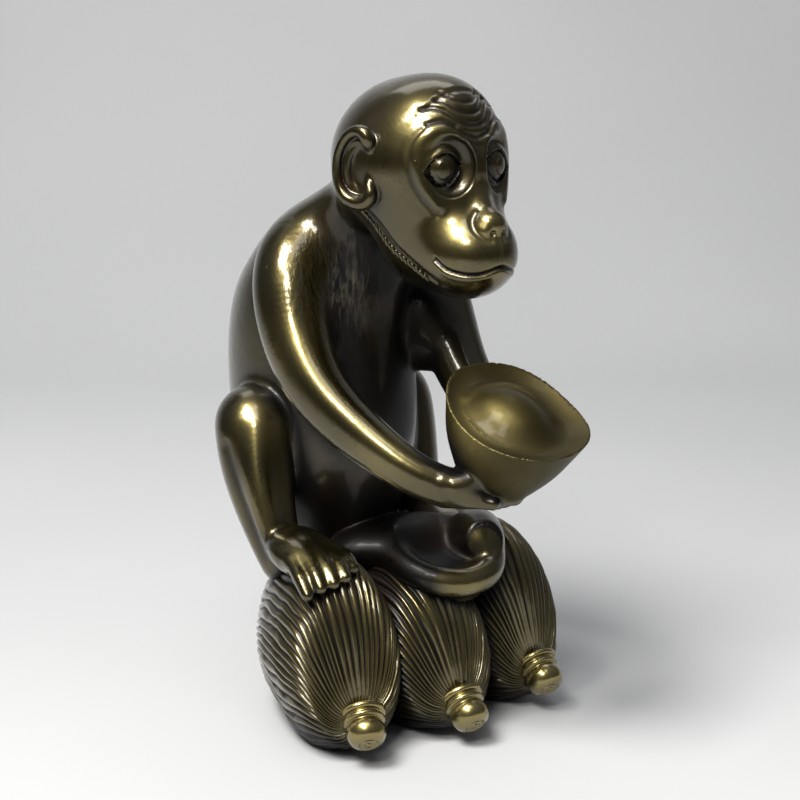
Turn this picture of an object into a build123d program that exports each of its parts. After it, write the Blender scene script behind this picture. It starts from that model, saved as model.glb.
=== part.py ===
from build123d import *
import os
from math import cos, pi, radians, sin

# A cast brass monkey that squats on a hand of three ribbed bananas and holds out a
# boat-shaped ingot. Millimetres. +Z is up, the face looks along -Y, the monkey's right side
# is at -X, and the origin is on the ground under the middle fruit.
#
# Every table of shares gives places and radii as shares of the named sizes beside it.

os.makedirs("parts", exist_ok=True)

# Fruits: each lies along -Y, its collared tip low at the front, its foot cut flat
fruit_width = 26.0
fruit_height = 42.0
fruit_length = 56.0
side_fruit_length = 45.0
fruit_neck_radius = 4.0
fruit_neck_height = 9.6
fruit_front = 19.0
side_fruit_setback = 2.4
left_fruit_spread = 26.2
right_fruit_spread = 23.0
left_fruit_fan = 8.0
right_fruit_fan = 11.0
rib_count = 30
rib_depth_share = 0.055
fruit_sink_share = 0.07
fruit_sink_reach_share = 0.625

# Collared tip of a fruit, turned about its own axis
tip_length = 8.4
tip_radius = 4.3
tip_dip = 40.0
tip_sink = 1.2

# Stalk crown: a dished round pad with a thick lip, and the stub of the cut stalk
crown_radius = 13.6
crown_lip_radius = 2.5
crown_depth = 8.0
crown_foot_share = 0.6
crown_dish_radius = 40.8
crown_tilt = 22.0
crown_turn = 20.0
crown_center = (5.0, -7.0, 39.6)
stub_radius = 3.5
stub_length = 7.5
stub_turn = -34.0
stub_rise = 22.0
stub_face_center = (11.6, -14.0, 42.6)
stub_groove = 0.5

# Torso: one arched form from the seat to the neck
torso_width = 37.0
torso_depth = 46.0
torso_seat_height = 40.0
torso_height = 80.0
torso_setback = 29.6

# Head: one form from the nape to the muzzle, and a small ball for the nose
head_width = 34.2
head_height = 44.2
head_depth = 47.7
head_setback = 13.4
chin_height = 97.9
nose_radius = 3.1
nose_advance = 42.0
nose_height = 114.0
nostril_radius = 0.75
nostril_spread = 3.2
nostril_depth = 2.0
mouth_height = 103.2
mouth_width = 16.2
mouth_length = 20.0
mouth_advance = 34.2
mouth_groove = 0.9

# Eyes: an almond boss with a ball, on the floor of an upright oval socket
eye_spread = 5.4
eye_advance = 36.4
eye_level = 125.2
eye_toe_out = 17.0
socket_width = 9.8
socket_height = 12.4
eye_width = 8.0
eye_height = 5.0
eye_boss = 1.6
eye_boss_taper = 32.0
eye_ball_radius = 2.4
eye_ball_sink = 0.6

# Ears: oval plates with a rounded rim and a cupped face, that stand off the skull
ear_height = 17.0
ear_length = 10.4
ear_thickness = 3.4
ear_level = 123.2
ear_advance = 20.7
ear_spread = 15.7
ear_lean = -10.0
ear_flare = 18.0
ear_cup_share = 0.68
ear_cup_depth = 1.7
ear_cup_foot_share = 0.42

# Arms: both run from the shoulder, out and round, to the hands under the ingot
shoulder_spread = 18.0
shoulder_height = 104.0
shoulder_setback = 19.0
shoulder_radius = 8.8
wrist_radius = 4.1
wrist_spread = 8.5
arm_reach = 43.0
arm_drop = 43.5
right_arm_bow = 6.0
left_arm_bow = 2.0

# Hands: a cupped palm, four fingers ahead of it and a thumb beside it
palm_width = 9.6
palm_length = 16.0
palm_thickness = 6.8
palm_center = (5.8, -27.0, 58.6)
palm_turn = 32.0
palm_dip = 8.0
finger_count = 4
finger_radius = 1.6
finger_length = 11.0
finger_spacing = 2.3
thumb_radius = 1.9
thumb_length = 9.0

# Digits start this share of a palm's or foot's length ahead of its middle
knuckle_share = 0.25

# Legs: folded beside the torso, the knee as high as the belly
hip_spread = 10.5
hip_height = 56.0
hip_setback = 33.0
right_knee_spread = 21.0
left_knee_spread = 18.5
knee_height = 71.0
knee_setback = 26.0
knee_radius = 9.4
thigh_radius = 10.2
right_ankle_spread = 24.0
left_ankle_spread = 18.0
ankle_height = 46.0
right_ankle_setback = 12.0
left_ankle_setback = 18.0
ankle_radius = 5.4

# Feet: a domed instep with five toes, laid on the side fruits
foot_length = 19.0
foot_width = 13.6
foot_thickness = 11.0
foot_advance = 9.0
foot_drop = 5.4
foot_dip = 12.0
toe_count = 5
toe_radius = 1.9
toe_length = 7.0
toe_fan = 9.0

# Tail: lies up the rump against the back
tail_radius = 3.4
tail_foot_height = 44.0
tail_length = 40.0
tail_wave = 3.0

# Ingot: a boat with a flared rim and a dome between its ends, tipped towards the front
ingot_center = (0.0, -36.6, 76.0)
ingot_tilt = 33.0
ingot_width = 27.5
ingot_length = 33.0
ingot_depth = 19.0
ingot_rim_thickness = 1.8
ingot_dish_depth = 4.2
ingot_dome_width = 17.0
ingot_dome_length = 20.0
ingot_dome_height = 9.4

# Every egg is drawn through this many sections, the first and last this far from its poles
egg_stations = 7
egg_pole = 10.0

# Arm from shoulder to wrist: forwards, downwards, inwards, bowed outwards, thinned
ARM_SHARES = (
    (0.00, 0.02, 1.05, 0.00, 0.24),
    (0.00, 0.03, 0.50, 0.10, 0.10),
    (0.05, 0.13, 0.02, 0.60, 0.02),
    (0.22, 0.41, 0.00, 1.00, 0.20),
    (0.43, 0.65, 0.14, 1.00, 0.52),
    (0.64, 0.83, 0.44, 0.60, 0.78),
    (0.84, 0.94, 0.74, 0.14, 0.95),
    (1.00, 1.00, 1.00, 0.00, 1.00),
)

# Torso from seat to neck: height, width, depth, setback
TORSO_SHARES = (
    (0.00, 0.66, 0.60, 0.84),
    (0.08, 0.86, 0.80, 0.89),
    (0.22, 1.00, 0.95, 0.95),
    (0.38, 1.00, 1.00, 0.98),
    (0.53, 0.98, 1.00, 1.00),
    (0.66, 0.97, 0.94, 0.96),
    (0.75, 0.95, 0.86, 0.84),
    (0.84, 0.87, 0.76, 0.72),
    (0.91, 0.75, 0.64, 0.53),
    (0.97, 0.62, 0.51, 0.28),
    (1.00, 0.56, 0.46, 0.16),
)

# Fruit from its tip to its rear pole: length, width, bottom rise, top height
FRUIT_SHARES = (
    (0.02, 0.62, 0.07, 0.52),
    (0.07, 0.84, 0.05, 0.74),
    (0.16, 0.97, 0.03, 0.91),
    (0.29, 1.00, 0.02, 0.99),
    (0.46, 0.98, 0.02, 1.00),
    (0.65, 0.88, 0.02, 0.94),
    (0.82, 0.68, 0.05, 0.81),
    (0.93, 0.44, 0.11, 0.66),
    (1.00, 0.16, 0.24, 0.48),
)

# Head from the nape to the muzzle: forwards, bottom, top, width
HEAD_SHARES = (
    (0.006, 0.545, 0.680, 0.18),
    (0.05, 0.42, 0.81, 0.49),
    (0.155, 0.28, 0.93, 0.79),
    (0.281, 0.16, 0.98, 0.955),
    (0.407, 0.05, 1.00, 1.00),
    (0.532, 0.00, 0.985, 0.96),
    (0.658, 0.00, 0.93, 0.84),
    (0.742, 0.00, 0.86, 0.71),
    (0.805, 0.00, 0.71, 0.60),
    (0.868, 0.015, 0.45, 0.50),
    (0.93, 0.055, 0.34, 0.37),
    (0.98, 0.115, 0.26, 0.20),
)

# Ear from the skull outwards: height, reach
EAR_SHARES = (
    (0.00, 0.90),
    (0.40, 1.00),
    (0.78, 0.97),
    (1.00, 0.84),
)

# Ingot's hull from its foot to its rim: depth, reach
HULL_SHARES = (
    (1.00, 0.52),
    (0.80, 0.60),
    (0.45, 0.73),
    (0.16, 0.87),
    (0.00, 1.00),
)

# Dome of the ingot from the dish upwards: height, reach
DOME_SHARES = (
    (0.00, 1.00),
    (0.30, 0.96),
    (0.58, 0.82),
    (0.80, 0.61),
    (0.94, 0.36),
    (0.99, 0.14),
)

# Tail from its foot to its end: height, wave, thickness
TAIL_SHARES = (
    (0.00, 0.00, 1.00),
    (0.25, 0.60, 1.00),
    (0.50, 1.00, 0.92),
    (0.75, 0.50, 0.80),
    (1.00, -0.40, 0.60),
)

# Tip outline from the fruit outwards: length, radius
TIP_SHARES = (
    (0.00, 0.86),
    (0.12, 1.00),
    (0.22, 0.86),
    (0.32, 0.98),
    (0.42, 0.84),
    (0.52, 0.92),
    (0.80, 0.90),
    (0.94, 0.72),
    (1.00, 0.48),
)


ACROSS = (1, 0, 0)
UP = (0, 0, 1)
AHEAD = (0, -1, 0)


def egg(center, heading, across, length, width, thickness):
    """An egg along its heading, closed by a small flat at either pole."""
    with BuildPart() as form:
        for step in range(egg_stations):
            angle = radians(egg_pole + (180 - 2 * egg_pole) * step / (egg_stations - 1))
            place = Vector(center) - Vector(heading).normalized() * (length / 2 * cos(angle))
            with BuildSketch(Plane(place, x_dir=across, z_dir=heading)):
                Ellipse(width / 2 * sin(angle), thickness / 2 * sin(angle))
        loft()
    return form.part


def scalloped(x_radius, y_radius, count, depth_share):
    """The points of an ellipse whose edge is cut into ribs."""
    points = []
    for step in range(2 * count):
        angle = pi * step / count
        reach = 1 - depth_share * (step % 2)
        points.append((x_radius * reach * cos(angle), y_radius * reach * sin(angle)))
    return points


def mirrored(solid):
    """The same solid on the monkey's left side."""
    with BuildPart() as other:
        add(solid)
        mirror(about=Plane.YZ, mode=Mode.REPLACE)
    return other.part


def write(solid, name):
    """Labels one finished piece and writes it."""
    solid.label = name
    export_step(solid, "parts/" + name + ".step")


# Fruits


def fruit_body(length, spread, setback, fan):
    """One ribbed fruit, standing on the ground, with its neck at the front."""
    neck = Vector(spread, setback - fruit_front, 0)
    back = Vector(-sin(radians(fan)), cos(radians(fan)), 0)
    across = Vector(back.Y, -back.X, 0)
    neck_share = fruit_neck_radius / (fruit_width / 2)
    low_share = (fruit_neck_height - fruit_neck_radius) / fruit_height
    high_share = (fruit_neck_height + fruit_neck_radius) / fruit_height
    stations = ((0.0, neck_share, low_share, high_share),) + FRUIT_SHARES
    with BuildPart() as fruit:
        for along, width, low, high in stations:
            middle = fruit_height * (high + low - sink_share(along)) / 2
            half = fruit_height * (high - low + sink_share(along)) / 2
            place = neck + back * (length * along) + Vector(0, 0, middle)
            with BuildSketch(Plane(place, x_dir=across, z_dir=-back)):
                Polygon(
                    *scalloped(fruit_width * width / 2, half, rib_count, rib_depth_share),
                    align=None,
                )
        loft(ruled=True)
        split(bisect_by=Plane.XY, keep=Keep.TOP)
    return fruit


def sink_share(along):
    """How far a section is carried below the ground, so that its flat foot is wide."""
    return fruit_sink_share * sin(pi * min(along / fruit_sink_reach_share, 1))


def crease(spread, fan):
    """The upright plane between two fruits, halfway between their axes."""
    turn = radians(fan / 2)
    return Plane(
        (spread / 2, -fruit_front, 0),
        x_dir=(-sin(turn), cos(turn), 0),
        z_dir=(cos(turn), sin(turn), 0),
    )


crease_left = crease(left_fruit_spread, left_fruit_fan)
crease_right = crease(right_fruit_spread, right_fruit_fan)
left_form = fruit_body(side_fruit_length, left_fruit_spread, side_fruit_setback, left_fruit_fan)
right_form = fruit_body(side_fruit_length, right_fruit_spread, side_fruit_setback, right_fruit_fan)

with BuildPart() as fruit_left:
    add(left_form.part)
    split(bisect_by=crease_left, keep=Keep.TOP)

with BuildPart() as fruit_right:
    add(right_form.part)
    split(bisect_by=crease_right, keep=Keep.TOP)
    mirror(about=Plane.YZ, mode=Mode.REPLACE)

with BuildPart() as fruit_middle:
    add(fruit_body(fruit_length, 0, 0, 0).part)
    split(bisect_by=crease_right, keep=Keep.BOTTOM)
    mirror(about=Plane.YZ, mode=Mode.REPLACE)
    split(bisect_by=crease_left, keep=Keep.BOTTOM)


# Fruit tips


def fruit_tip(spread, setback, fan):
    """A collared tip that carries on from a fruit's neck, dipping towards the ground."""
    out = Vector(
        sin(radians(fan)) * cos(radians(tip_dip)),
        -cos(radians(fan)) * cos(radians(tip_dip)),
        -sin(radians(tip_dip)),
    )
    neck = Vector(spread, setback - fruit_front, fruit_neck_height) - out * tip_sink
    side = Vector(cos(radians(fan)), sin(radians(fan)), 0)
    with BuildPart() as tip:
        with BuildSketch(Plane(neck, x_dir=out, z_dir=side.cross(out).cross(out) * -1)):
            with BuildLine():
                Polyline(
                    (0, 0),
                    *[(tip_length * along, tip_radius * reach) for along, reach in TIP_SHARES],
                    (tip_length, 0),
                    close=True,
                )
            make_face()
        revolve(axis=Axis(neck, out))
    return tip


with BuildPart() as fruit_tip_middle:
    add(fruit_tip(0, 0, 0).part)
    add(fruit_middle.part, mode=Mode.SUBTRACT)

with BuildPart() as fruit_tip_left:
    add(fruit_tip(left_fruit_spread, side_fruit_setback, left_fruit_fan).part)
    add(fruit_left.part, mode=Mode.SUBTRACT)

with BuildPart() as fruit_tip_right:
    add(mirrored(fruit_tip(right_fruit_spread, side_fruit_setback, right_fruit_fan).part))
    add(fruit_right.part, mode=Mode.SUBTRACT)


# Head, from the nape forwards


def in_head(forwards, height, sideways=0.0):
    """A place in the head, measured forwards from the nape."""
    return (sideways, head_setback - forwards, height)


def eye_plane(side):
    """The floor of one eye socket, facing ahead and a little outwards."""
    turn = side * radians(eye_toe_out)
    return Plane(
        in_head(eye_advance, eye_level, side * eye_spread),
        x_dir=(cos(turn), sin(turn), 0),
        z_dir=(sin(turn), -cos(turn), 0),
    )


with BuildPart() as head_form:
    for forwards, bottom, top, width in HEAD_SHARES:
        middle = chin_height + head_height * (top + bottom) / 2
        with BuildSketch(Plane(in_head(head_depth * forwards, middle), x_dir=ACROSS, z_dir=AHEAD)):
            Ellipse(head_width * width / 2, head_height * (top - bottom) / 2)
    loft()

with BuildPart() as head:
    add(head_form.part)
    with Locations(in_head(nose_advance, nose_height)):
        Sphere(nose_radius)
    for side in (1, -1):
        with BuildSketch(eye_plane(side)):
            Ellipse(socket_width / 2, socket_height / 2)
        extrude(amount=socket_height, mode=Mode.SUBTRACT)
        nostril = in_head(nose_advance + nose_radius, nose_height, side * nostril_spread / 2)
        with BuildSketch(Plane(nostril, x_dir=ACROSS, z_dir=AHEAD)):
            Circle(nostril_radius)
        extrude(amount=-nostril_depth, mode=Mode.SUBTRACT)
    with BuildSketch(Plane(in_head(mouth_advance, mouth_height), x_dir=ACROSS, z_dir=UP)):
        Rectangle(head_width, mouth_length, align=(Align.CENTER, Align.MAX))
        Ellipse(mouth_width / 2, mouth_length / 2, mode=Mode.SUBTRACT)
    extrude(amount=mouth_groove, mode=Mode.SUBTRACT)

with BuildPart() as eye_left:
    with BuildSketch(eye_plane(1)):
        with BuildLine():
            ThreePointArc((-eye_width / 2, 0), (0, eye_height / 2), (eye_width / 2, 0))
            ThreePointArc((eye_width / 2, 0), (0, -eye_height / 2), (-eye_width / 2, 0))
        make_face()
    extrude(amount=eye_boss, taper=eye_boss_taper)
    with Locations(eye_plane(1).offset(-eye_ball_sink).origin):
        Sphere(eye_ball_radius)
    split(bisect_by=eye_plane(1), keep=Keep.TOP)

with BuildPart() as eye_right:
    add(mirrored(eye_left.part))


# Ears

ear_plane = Plane(
    in_head(ear_advance, ear_level, ear_spread),
    x_dir=(sin(radians(ear_flare)), cos(radians(ear_flare)), sin(radians(ear_lean))),
    z_dir=(cos(radians(ear_flare)), -sin(radians(ear_flare)), 0),
)

with BuildPart() as ear_left:
    for level, reach in EAR_SHARES:
        with BuildSketch(ear_plane.offset(ear_thickness * level)):
            Ellipse(ear_length / 2 * reach, ear_height / 2 * reach)
    loft()
    for level, reach in ((0, ear_cup_share), (ear_cup_depth, ear_cup_foot_share)):
        with BuildSketch(ear_plane.offset(ear_thickness - level)):
            Ellipse(ear_length / 2 * reach, ear_height / 2 * reach)
    loft(mode=Mode.SUBTRACT)
    add(head_form.part, mode=Mode.SUBTRACT)

with BuildPart() as ear_right:
    add(mirrored(ear_left.part))


# Torso

with BuildPart() as torso_form:
    for height, width, depth, setback in TORSO_SHARES:
        place = (0, torso_setback * setback, torso_seat_height + torso_height * height)
        with BuildSketch(Plane(place, x_dir=ACROSS, z_dir=UP)):
            Ellipse(torso_width * width / 2, torso_depth * depth / 2)
    loft()

with BuildPart() as torso:
    add(torso_form.part)
    add(head.part, mode=Mode.SUBTRACT)
    add(fruit_middle.part, mode=Mode.SUBTRACT)
    add(fruit_left.part, mode=Mode.SUBTRACT)
    add(fruit_right.part, mode=Mode.SUBTRACT)


# Ingot, tipped about its middle so that its mouth looks forwards and up


def in_ingot(upwards):
    """A level of the ingot, square to its tipped axis, above or below its rim."""
    axis = (0, -sin(radians(ingot_tilt)), cos(radians(ingot_tilt)))
    return Plane(ingot_center, x_dir=ACROSS, z_dir=axis).offset(upwards)


with BuildPart() as ingot_bowl:
    for level, reach in HULL_SHARES:
        with BuildSketch(in_ingot(-ingot_depth * level)):
            Ellipse(ingot_width / 2 * reach, ingot_length / 2 * reach)
    loft()
    with BuildSketch(in_ingot(0)):
        Ellipse(ingot_width / 2 - ingot_rim_thickness, ingot_length / 2 - ingot_rim_thickness)
    with BuildSketch(in_ingot(-ingot_dish_depth)):
        Ellipse(ingot_dome_width / 2, ingot_dome_length / 2)
    loft(mode=Mode.SUBTRACT)

with BuildPart() as ingot_dome:
    for height, reach in DOME_SHARES:
        with BuildSketch(in_ingot(ingot_dome_height * height - ingot_dish_depth)):
            Ellipse(ingot_dome_width / 2 * reach, ingot_dome_length / 2 * reach)
    loft()


# Limbs


def limb(points, radii, seam=(1, 0, 0)):
    """A round limb through the points, its seam kept to one side."""
    with BuildPart() as form:
        for step, (point, radius) in enumerate(zip(points, radii)):
            before = points[max(step - 1, 0)]
            after = points[min(step + 1, len(points) - 1)]
            with BuildSketch(Plane(point, x_dir=seam, z_dir=after - before)):
                Circle(radius)
        loft()
    return form


def finger(start, direction, length, radius):
    """A rounded finger or toe."""
    with BuildPart() as form:
        with BuildSketch(Plane(start, z_dir=direction)):
            Circle(radius)
        extrude(amount=length)
        with Locations(start + direction.normalized() * length):
            Sphere(radius)
    return form


def arm(bow):
    """The monkey's left arm, bowed outwards."""
    points = [
        Vector(
            shoulder_spread + (wrist_spread - shoulder_spread) * inwards + bow * bowed,
            shoulder_setback - arm_reach * forwards,
            shoulder_height - arm_drop * downwards,
        )
        for forwards, downwards, inwards, bowed, thinned in ARM_SHARES
    ]
    radii = [
        shoulder_radius + (wrist_radius - shoulder_radius) * thinned
        for forwards, downwards, inwards, bowed, thinned in ARM_SHARES
    ]
    return limb(points, radii, seam=(1, -1, 1))


def leg(knee_spread, ankle_spread, ankle_setback):
    """The monkey's left leg, folded at the knee."""
    hip = Vector(hip_spread, hip_setback, hip_height)
    knee = Vector(knee_spread, knee_setback, knee_height)
    ankle = Vector(ankle_spread, ankle_setback, ankle_height)
    thigh = limb([hip, (hip + knee) / 2, knee], [thigh_radius, thigh_radius, knee_radius])
    shin = limb([knee, (knee + ankle) / 2, ankle], [knee_radius, knee_radius, ankle_radius])
    with BuildPart() as folded:
        add(thigh.part)
        add(shin.part)
        with Locations(knee):
            Sphere(knee_radius)
    return folded


def hand():
    """The monkey's left hand: a palm with four fingers under the ingot and a thumb."""
    heading = Vector(-sin(radians(palm_turn)), -cos(radians(palm_turn)), -sin(radians(palm_dip)))
    across = Vector(cos(radians(palm_turn)), -sin(radians(palm_turn)), 0)
    center = Vector(palm_center)
    front = center + heading * (palm_length * knuckle_share)
    fingers = [
        finger(
            front + across * (finger_spacing * (step - (finger_count - 1) / 2)),
            heading,
            finger_length,
            finger_radius,
        )
        for step in range(finger_count)
    ]
    thumb = finger(
        center + across * (palm_width / 2 - thumb_radius) + Vector(0, 0, palm_thickness * knuckle_share),
        heading + Vector(0, 0, sin(radians(palm_turn))),
        thumb_length,
        thumb_radius,
    )
    with BuildPart() as form:
        add(egg(center, heading, across, palm_length, palm_width, palm_thickness))
        for digit in fingers:
            add(digit.part)
        add(thumb.part)
    return form


def foot(ankle_spread, ankle_setback):
    """The monkey's left foot: a domed instep and five toes that fan out."""
    center = Vector(ankle_spread, ankle_setback - foot_advance, ankle_height - foot_drop)
    toes = []
    for step in range(toe_count):
        place = step - (toe_count - 1) / 2
        turn = radians(toe_fan * place)
        heading = Vector(sin(turn), -cos(turn), -sin(radians(foot_dip)))
        start = center + Vector(
            (foot_width - 2 * toe_radius) * place / (toe_count - 1),
            -foot_length * knuckle_share,
            0,
        )
        toes.append(finger(start, heading, toe_length, toe_radius))
    with BuildPart() as form:
        heading = (0, -cos(radians(foot_dip)), -sin(radians(foot_dip)))
        add(egg(center, heading, ACROSS, foot_length, foot_width, foot_thickness))
        for toe in toes:
            add(toe.part)
    return form


arm_left_form = arm(left_arm_bow)
arm_right_form = arm(right_arm_bow)
leg_left_form = leg(left_knee_spread, left_ankle_spread, left_ankle_setback)
leg_right_form = leg(right_knee_spread, right_ankle_spread, right_ankle_setback)
hand_form = hand()
foot_left_form = foot(left_ankle_spread, left_ankle_setback)
foot_right_form = foot(right_ankle_spread, right_ankle_setback)


def seated(solid, *carriers):
    """A piece cut back to the faces of the pieces that carry it, its largest solid kept."""
    with BuildPart() as piece:
        add(solid)
        for carrier in carriers:
            add(carrier, mode=Mode.SUBTRACT)
    keep = piece.part.solids().sort_by(SortBy.VOLUME)[-1]
    with BuildPart() as kept:
        add(keep)
    return kept


fruits = (fruit_middle.part, fruit_left.part, fruit_right.part)
leg_left = seated(leg_left_form.part, torso.part, *fruits)
leg_right = seated(mirrored(leg_right_form.part), torso.part, *fruits)
arm_left = seated(arm_left_form.part, torso.part, leg_left.part, ingot_bowl.part)
arm_right = seated(mirrored(arm_right_form.part), torso.part, leg_right.part, ingot_bowl.part)
hand_left = seated(hand_form.part, ingot_bowl.part, arm_left.part)
hand_right = seated(mirrored(hand_form.part), ingot_bowl.part, arm_right.part, hand_left.part)
foot_left = seated(foot_left_form.part, leg_left.part, torso.part, *fruits)
foot_right = seated(mirrored(foot_right_form.part), leg_right.part, torso.part, *fruits)


# Tail, along the line of the back


def back_line(height):
    """How far back the torso's surface lies at a height."""
    level = (height - torso_seat_height) / torso_height
    for lower, upper in zip(TORSO_SHARES, TORSO_SHARES[1:]):
        if lower[0] <= level <= upper[0]:
            part = (level - lower[0]) / (upper[0] - lower[0])
            depth = lower[2] + (upper[2] - lower[2]) * part
            setback = lower[3] + (upper[3] - lower[3]) * part
            return torso_setback * setback + torso_depth * depth / 2
    return torso_setback


tail_form = limb(
    [
        Vector(
            tail_wave * wave,
            back_line(tail_foot_height + tail_length * along),
            tail_foot_height + tail_length * along,
        )
        for along, wave, thickness in TAIL_SHARES
    ],
    [tail_radius * thickness for along, wave, thickness in TAIL_SHARES],
)
tail = seated(tail_form.part, torso.part, fruit_middle.part)


# Stalk crown and the stub of the cut stalk

crown_plane = Plane(
    Location(crown_center, (crown_tilt, 0, crown_turn)),
)

with BuildPart() as crown_form:
    with BuildSketch(Plane(crown_plane.origin, x_dir=crown_plane.x_dir, z_dir=-crown_plane.y_dir)):
        with BuildLine():
            Line((0, -crown_depth), (0, -crown_lip_radius / 2))
            lip_inner = (crown_radius - 2 * crown_lip_radius, 0)
            lip_top = (crown_radius - crown_lip_radius, crown_lip_radius)
            lip_outer = (crown_radius, 0)
            RadiusArc((0, -crown_lip_radius / 2), lip_inner, crown_dish_radius)
            ThreePointArc(lip_inner, lip_top, lip_outer)
            crown_foot = (crown_radius * crown_foot_share, -crown_depth)
            RadiusArc(lip_outer, crown_foot, crown_radius)
            Line(crown_foot, (0, -crown_depth))
        make_face()
    revolve(axis=Axis(crown_plane.origin, crown_plane.z_dir))

stub_axis = Vector(
    sin(radians(stub_turn)) * cos(radians(stub_rise)),
    -cos(radians(stub_turn)) * cos(radians(stub_rise)),
    sin(radians(stub_rise)),
)
with BuildPart() as stub_form:
    with BuildSketch(Plane(stub_face_center, z_dir=stub_axis)):
        Circle(stub_radius)
    extrude(amount=-stub_length)
    with BuildSketch(Plane(stub_face_center, z_dir=stub_axis)):
        Circle(stub_radius - stub_groove)
        Circle(stub_radius - 2 * stub_groove, mode=Mode.SUBTRACT)
    extrude(amount=-stub_groove, mode=Mode.SUBTRACT)

stalk_crown = seated(crown_form.part, torso.part, foot_left.part, *fruits)
stalk_cut_end = seated(stub_form.part, stalk_crown.part, foot_left.part, *fruits)

for name, piece in (
    ("fruit_middle", fruit_middle),
    ("fruit_left", fruit_left),
    ("fruit_right", fruit_right),
    ("fruit_tip_middle", fruit_tip_middle),
    ("fruit_tip_left", fruit_tip_left),
    ("fruit_tip_right", fruit_tip_right),
    ("head", head),
    ("eye_left", eye_left),
    ("eye_right", eye_right),
    ("ear_left", ear_left),
    ("ear_right", ear_right),
    ("torso", torso),
    ("arm_left", arm_left),
    ("arm_right", arm_right),
    ("hand_left", hand_left),
    ("hand_right", hand_right),
    ("leg_left", leg_left),
    ("leg_right", leg_right),
    ("foot_left", foot_left),
    ("foot_right", foot_right),
    ("tail", tail),
    ("ingot_bowl", ingot_bowl),
    ("ingot_dome", ingot_dome),
    ("stalk_crown", stalk_crown),
    ("stalk_cut_end", stalk_cut_end),
):
    write(piece.part, name)
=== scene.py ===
"""Looks of the cast brass monkey that squats on ribbed fruits and holds out an ingot."""
import logging
import math
from collections import Counter
from dataclasses import dataclass, field
from enum import Enum
from typing import Callable, Sequence

import bpy
import numpy as np
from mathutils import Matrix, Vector


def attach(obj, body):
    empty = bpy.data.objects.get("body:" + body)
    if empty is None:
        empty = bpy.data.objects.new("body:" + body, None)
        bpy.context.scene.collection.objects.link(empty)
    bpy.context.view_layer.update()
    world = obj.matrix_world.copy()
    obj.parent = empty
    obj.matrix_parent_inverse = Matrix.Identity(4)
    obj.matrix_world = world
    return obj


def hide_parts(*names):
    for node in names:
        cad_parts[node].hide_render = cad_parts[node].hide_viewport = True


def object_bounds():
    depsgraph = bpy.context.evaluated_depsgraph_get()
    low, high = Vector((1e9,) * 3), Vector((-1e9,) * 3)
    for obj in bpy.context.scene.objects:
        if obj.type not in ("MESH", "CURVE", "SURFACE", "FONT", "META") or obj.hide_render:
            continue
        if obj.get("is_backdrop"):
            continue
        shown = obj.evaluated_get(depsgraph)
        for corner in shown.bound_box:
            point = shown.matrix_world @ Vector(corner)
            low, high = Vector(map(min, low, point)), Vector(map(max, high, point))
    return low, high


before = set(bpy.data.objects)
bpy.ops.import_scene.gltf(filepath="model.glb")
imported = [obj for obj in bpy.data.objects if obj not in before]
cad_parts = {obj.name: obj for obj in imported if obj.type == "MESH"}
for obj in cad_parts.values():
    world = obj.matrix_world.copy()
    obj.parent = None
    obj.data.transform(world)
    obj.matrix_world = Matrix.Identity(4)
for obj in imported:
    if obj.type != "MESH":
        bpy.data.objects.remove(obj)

LOG = logging.getLogger("monkey_figurine")
MM = 0.001
CHUNK = 20000
FAR = 1e3
Array = np.ndarray
Point = tuple[float, float, float]


# Numbers and shapes shared by the forms


def unit(vector: Sequence[float]) -> Array:
    """The vector at length one."""
    v = np.asarray(vector, float)
    return v / np.linalg.norm(v)


def units(rows: Array) -> Array:
    """Every row at length one."""
    return rows / np.maximum(np.linalg.norm(rows, axis=1, keepdims=True), 1e-9)


def lattice(count: Sequence[int]) -> Array:
    """Every whole-number place in a box of cells."""
    places = np.meshgrid(*[np.arange(n) for n in count], indexing="ij")
    return np.stack(places, -1).reshape(-1, 3)


def smooth_min(a: Array, b: Array, k: float) -> Array:
    """The lower of two distances, blended over k."""
    h = np.clip(0.5 + 0.5 * (b - a) / k, 0.0, 1.0)
    return b * (1 - h) + a * h - k * h * (1 - h)


def smooth_max(a: Array, b: Array, k: float) -> Array:
    """The higher of two distances, blended over k."""
    return -smooth_min(-a, -b, k)


def ramp(x: Array, low: float, high: float) -> Array:
    """0 below low, 1 above high, eased between them."""
    t = np.clip((x - low) / (high - low), 0.0, 1.0)
    return t * t * (3 - 2 * t)


def curve_points(points: Sequence[Sequence[float]], per_span: int = 6) -> Array:
    """A smooth curve through the points, any number of columns."""
    p = np.asarray(points, float)
    if len(p) < 3:
        return p
    padded = np.vstack([2 * p[0] - p[1], p, 2 * p[-1] - p[-2]])
    t = np.linspace(0, 1, per_span, endpoint=False)[:, None]
    spans = []
    for i in range(len(p) - 1):
        a, b, c, d = padded[i : i + 4]
        square = (2 * a - 5 * b + 4 * c - d) * t**2
        cube = (3 * b - a - 3 * c + d) * t**3
        spans.append(0.5 * (2 * b + (c - a) * t + square + cube))
    spans.append(p[-1:])
    return np.vstack(spans)


def evened(rows: Array, passes: int) -> Array:
    """Rows of stations with their small kinks averaged out; the two ends stay."""
    out = np.array(rows, float)
    for _ in range(passes):
        out[1:-1] = 0.25 * out[:-2] + 0.5 * out[1:-1] + 0.25 * out[2:]
    return out


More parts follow.
